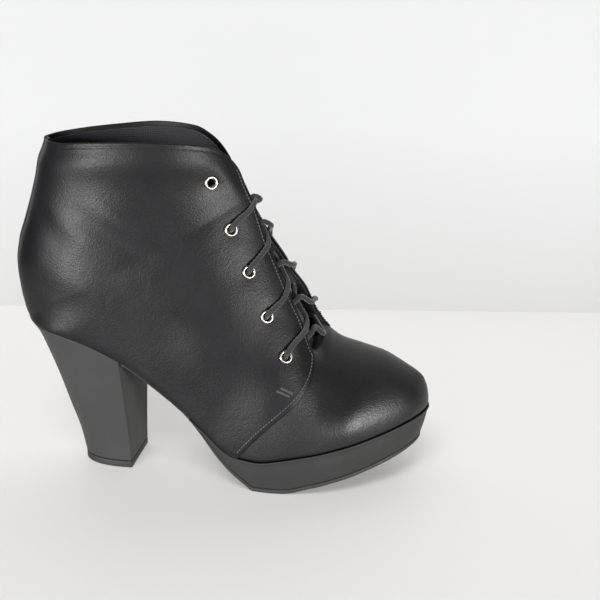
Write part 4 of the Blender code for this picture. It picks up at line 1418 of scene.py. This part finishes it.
def stitch_mesh(shape, path, pitch, length, radius, sides=6):
    """Add one row of stitches along evenly spaced points with normals, half sunk in the leather."""
    step = (path[1][0] - path[0][0]).length
    per = max(2, int(round(pitch / step)))
    span = max(2, int(round(length / step)))
    for start in range(0, len(path) - span, per):
        pieces = path[start:start + span + 1]
        count = len(pieces) - 1
        rings = []
        for i, (here, normal) in enumerate(pieces):
            share = i / count
            tangent = (pieces[min(i + 1, count)][0] - pieces[max(i - 1, 0)][0]).normalized()
            across = tangent.cross(normal).normalized()
            size = radius * max(0.15, math.sin(math.pi * (0.08 + 0.84 * share))) ** 0.5
            height = radius * (math.sin(math.pi * share) * 0.9 - 0.45)
            ring = []
            for k in range(sides):
                turn = 2 * math.pi * k / sides
                ring.append(here + normal * (height + size * math.cos(turn)) + across * size * math.sin(turn))
            rings.append(ring)
        skin(shape, rings)


STITCHED_FROM = 0.40 * LENGTH
STITCHED_BELOW = 13
STITCHED_ABOVE = 0.003
STITCH_INSET = 0.0019
STITCH_PITCH = 0.0020
STITCH_LENGTH = 0.0015
STITCH_RADIUS = 0.00028
STITCH_STEP = 0.0004


def build_stitches(outer):
    """Stitches inside the facings' edges and the quarters' front edges."""
    def on_facing(point):
        above = point.z - float(feather_z(point.x))
        angle = fan_angle(point.x, point.z)
        return point.x > STITCHED_FROM and angle > STITCHED_BELOW and above > STITCHED_ABOVE

    shape = bmesh.new()
    for run in edge_path(outer, on_facing, STITCH_INSET):
        stitch_mesh(shape, run, STITCH_PITCH, STITCH_LENGTH, STITCH_RADIUS)
    bmesh.ops.recalc_face_normals(shape, faces=shape.faces)
    finish_object("facing_stitches", shape, THREAD)


BAR_TACKS = (
    # side view start and end: shares of length and of the shaft top's height
    (0.6475, 0.3495, 0.6750, 0.3367),
    (0.6575, 0.3580, 0.6825, 0.3453),
)
TACK_PITCH = 0.0006
TACK_WIDTH = 0.0013


def build_bar_tacks(outer):
    """Two short bars of close cross stitches where the lateral quarter's front edge takes the strain."""
    tree = BVHTree.FromBMesh(outer)
    shape = bmesh.new()
    for row in BAR_TACKS:
        ends = [Vector(surface_at(row[k] * LENGTH, row[k + 1] * SHAFT_TOP, -1)) for k in (0, 2)]
        along = (ends[1] - ends[0]).normalized()
        for here, normal in laid_on(tree, smooth_path(ends, TACK_PITCH)):
            across = (along.cross(normal).normalized() + along * 0.25) * TACK_WIDTH / 2
            thread = smooth_path((here - across, here, here + across), TACK_WIDTH / 4)
            stitch_mesh(shape, laid_on(tree, thread), TACK_WIDTH, TACK_WIDTH, STITCH_RADIUS)
    bmesh.ops.recalc_face_normals(shape, faces=shape.faces)
    finish_object("bar_tacks", shape, THREAD)


# Scene

CAMERA_PLACE = (0.1435, -0.49897, 0.26528)
CAMERA_TURN = 0.06484
CAMERA_PITCH = 0.316715
CAMERA_ROLL = 0.015568
CAMERA_LENS = 56.19


def build_camera():
    """Camera at the photo's angle, from its turn, pitch and roll in radians."""
    right = Vector((math.cos(CAMERA_TURN), math.sin(CAMERA_TURN), 0))
    ahead = Vector((-math.sin(CAMERA_TURN), math.cos(CAMERA_TURN), 0))
    up = Vector((0, 0, 1))
    view = ahead * math.cos(CAMERA_PITCH) - up * math.sin(CAMERA_PITCH)
    top = ahead * math.sin(CAMERA_PITCH) + up * math.cos(CAMERA_PITCH)
    rolled_right = right * math.cos(CAMERA_ROLL) + top * math.sin(CAMERA_ROLL)
    rolled_top = top * math.cos(CAMERA_ROLL) - right * math.sin(CAMERA_ROLL)
    data = bpy.data.cameras.new("camera")
    data.lens = CAMERA_LENS
    data.sensor_width = 36.0
    camera = place_object("camera", data)
    turn = Matrix((rolled_right, rolled_top, -view)).transposed().to_4x4()
    camera.matrix_world = Matrix.Translation(CAMERA_PLACE) @ turn
    bpy.context.scene.camera = camera


LIGHT_TARGET = Vector((0.07, 0.0, 0.09))


def area_light(name, azimuth, height, distance, size, power, color=(1, 1, 1)):
    """Soft box aimed at the boot. Azimuth counts from straight ahead of the lateral side to the toe."""
    turn, rise = math.radians(azimuth), math.radians(height)
    away = Vector((math.sin(turn) * math.cos(rise), -math.cos(turn) * math.cos(rise), math.sin(rise)))
    data = bpy.data.lights.new(name, "AREA")
    data.shape = "RECTANGLE"
    data.size, data.size_y = size
    data.energy = power
    data.color = color
    light = place_object(name, data)
    light.location = LIGHT_TARGET + away * distance
    light.rotation_euler = (-away).to_track_quat("-Z", "Y").to_euler()
    return light


WALL_FOOT = (0.093, 0.2833)
WALL_TURN = 0.0757
WALL_HEIGHT = 1.2
WALL_SHADE_FADE = 0.16
FLOOR_DROP = 0.0002
FLOOR_FRONT = -1.6
FLOOR_REAR = 0.9
BACKDROP_ENDS = (-0.50, 1.0)
FLOOR_PALE = (0.76, 0.75, 0.735)
# The wall's foot is painted darker than its top: painted shade near the floor.
WALL_PAINTED_SHADE = (0.65, 0.65, 0.645)
WALL_HIGH = (0.80, 0.80, 0.80)
WORLD_COLOR = (0.95, 0.97, 1.0, 1.0)
WORLD_STRENGTH = 0.62


def plain_look(nodes, low, high, roughness):
    """Plain stage colour that changes softly with height: on the wall, painted shade that darkens its foot
    near the floor.
    """
    tint = nodes.mix(nodes.ramp(nodes.part(), 0, 1, 0.0, WALL_SHADE_FADE), low, high)
    return nodes.shade(Base_Color=tint, Roughness=roughness, Specular_IOR_Level=0.3)


def show_one_side(nodes):
    """Let the back of a surface show what is beyond it, so that the wall hides nothing from behind."""
    known = nodes.tree.nodes
    either = known.new("ShaderNodeMixShader")
    sources = (
        nodes.add("ShaderNodeNewGeometry", "Backfacing"),
        known["Principled BSDF"].outputs[0],
        nodes.add("ShaderNodeBsdfTransparent", "BSDF"),
    )
    for socket, source in zip(either.inputs, sources):
        nodes.plug(socket, source)
    nodes.plug(known["Material Output"].inputs["Surface"], either.outputs[0])


def stage_sheet(name, corners, look):
    shape = bmesh.new()
    shape.faces.new([shape.verts.new(corner) for corner in corners])
    made = mesh_object(name, shape, look)
    return made


def build_backdrop():
    """Pale floor, and a wall behind with painted shade darkening its foot, so that it meets the floor in a
    soft line.
    """
    along = Vector((math.cos(WALL_TURN), math.sin(WALL_TURN), 0))
    back = Vector((-math.sin(WALL_TURN), math.cos(WALL_TURN), 0))
    up = Vector((0, 0, 1))
    foot = Vector((*WALL_FOOT, -FLOOR_DROP))
    left, right = (foot + along * end for end in BACKDROP_ENDS)
    front, rear = back * FLOOR_FRONT, back * FLOOR_REAR
    floor_nodes = material_nodes("floor_pale")
    wall_nodes = material_nodes("wall_pale")
    show_one_side(wall_nodes)
    return [
        stage_sheet("floor", (left + front, right + front, right + rear, left + rear),
                    plain_look(floor_nodes, FLOOR_PALE, FLOOR_PALE, 0.5)),
        stage_sheet("backdrop", (left, right, right + up * WALL_HEIGHT, left + up * WALL_HEIGHT),
                    plain_look(wall_nodes, WALL_PAINTED_SHADE, WALL_HIGH, 0.8)),
    ]


def build_world():
    """Soft surroundings: bright round the horizon, dim overhead, at both sides and below."""
    world = bpy.data.worlds.new("studio")
    nodes = Nodes(world, "Generated")
    up = nodes.part()
    sideways = nodes.math("ABSOLUTE", nodes.part("X"))
    soft = {"interpolation_type": "SMOOTHSTEP"}
    above = nodes.ramp(up, 0.15, 1.0, -0.10, 0.05, **soft)
    overhead = nodes.ramp(up, 1.0, 0.25, 0.28, 0.85, **soft)
    beside = nodes.ramp(sideways, 1.0, 0.15, 0.50, 0.90, **soft)
    strength = nodes.math("MULTIPLY", nodes.math("MULTIPLY", above, overhead), beside)
    sky = nodes.tree.nodes["Background"]
    nodes.plug(sky.inputs["Color"], WORLD_COLOR)
    nodes.plug(sky.inputs["Strength"], nodes.math("MULTIPLY", strength, WORLD_STRENGTH))
    bpy.context.scene.world = world


def backdrop_group(name, stage, state):
    """Light receivers: the backdrop alone, or all but the backdrop."""
    group = bpy.data.collections.new(name)
    for thing in stage:
        group.objects.link(thing)
    for link in group.collection_objects:
        link.light_linking.link_state = state
    return group


def build_lights(stage):
    """Soft boxes for the boot's glows, and a key and a shadowless fill for the floor and wall only."""
    bpy.context.scene.view_settings.view_transform = "Standard"
    all_but = backdrop_group("all_but_backdrop", stage, "EXCLUDE")
    for box in (
        area_light("right_box", 46, 4, 1.7, (0.40, 0.30), 41.0, (1.0, 0.99, 0.98)),
        area_light("left_box", -38, 4, 1.6, (0.24, 0.5), 41.0, (0.99, 1.0, 1.0)),
        area_light("front_box", 14, 10, 2.0, (0.50, 0.35), 1.4),
    ):
        box.light_linking.receiver_collection = all_but
    backdrop_only = backdrop_group("backdrop_only", stage, "INCLUDE")
    key = area_light("backdrop_key", -10, 55, 3.2, (1.4, 1.4), 46.0)
    key.light_linking.receiver_collection = backdrop_only
    fill = area_light("backdrop_fill", -20, 40, 5.0, (1.4, 1.4), 150.0)
    fill.data.use_shadow = False
    fill.light_linking.receiver_collection = backdrop_only


build_camera()
build_world()
build_lights(build_backdrop())
quarter_surface = build_quarters()
build_vamp()
build_lining()
build_platform()
build_outsole()
build_insole()
build_heel()
build_tongue()
build_eyelets()
build_lace()
build_stitches(quarter_surface)
build_bar_tacks(quarter_surface)
quarter_surface.free()
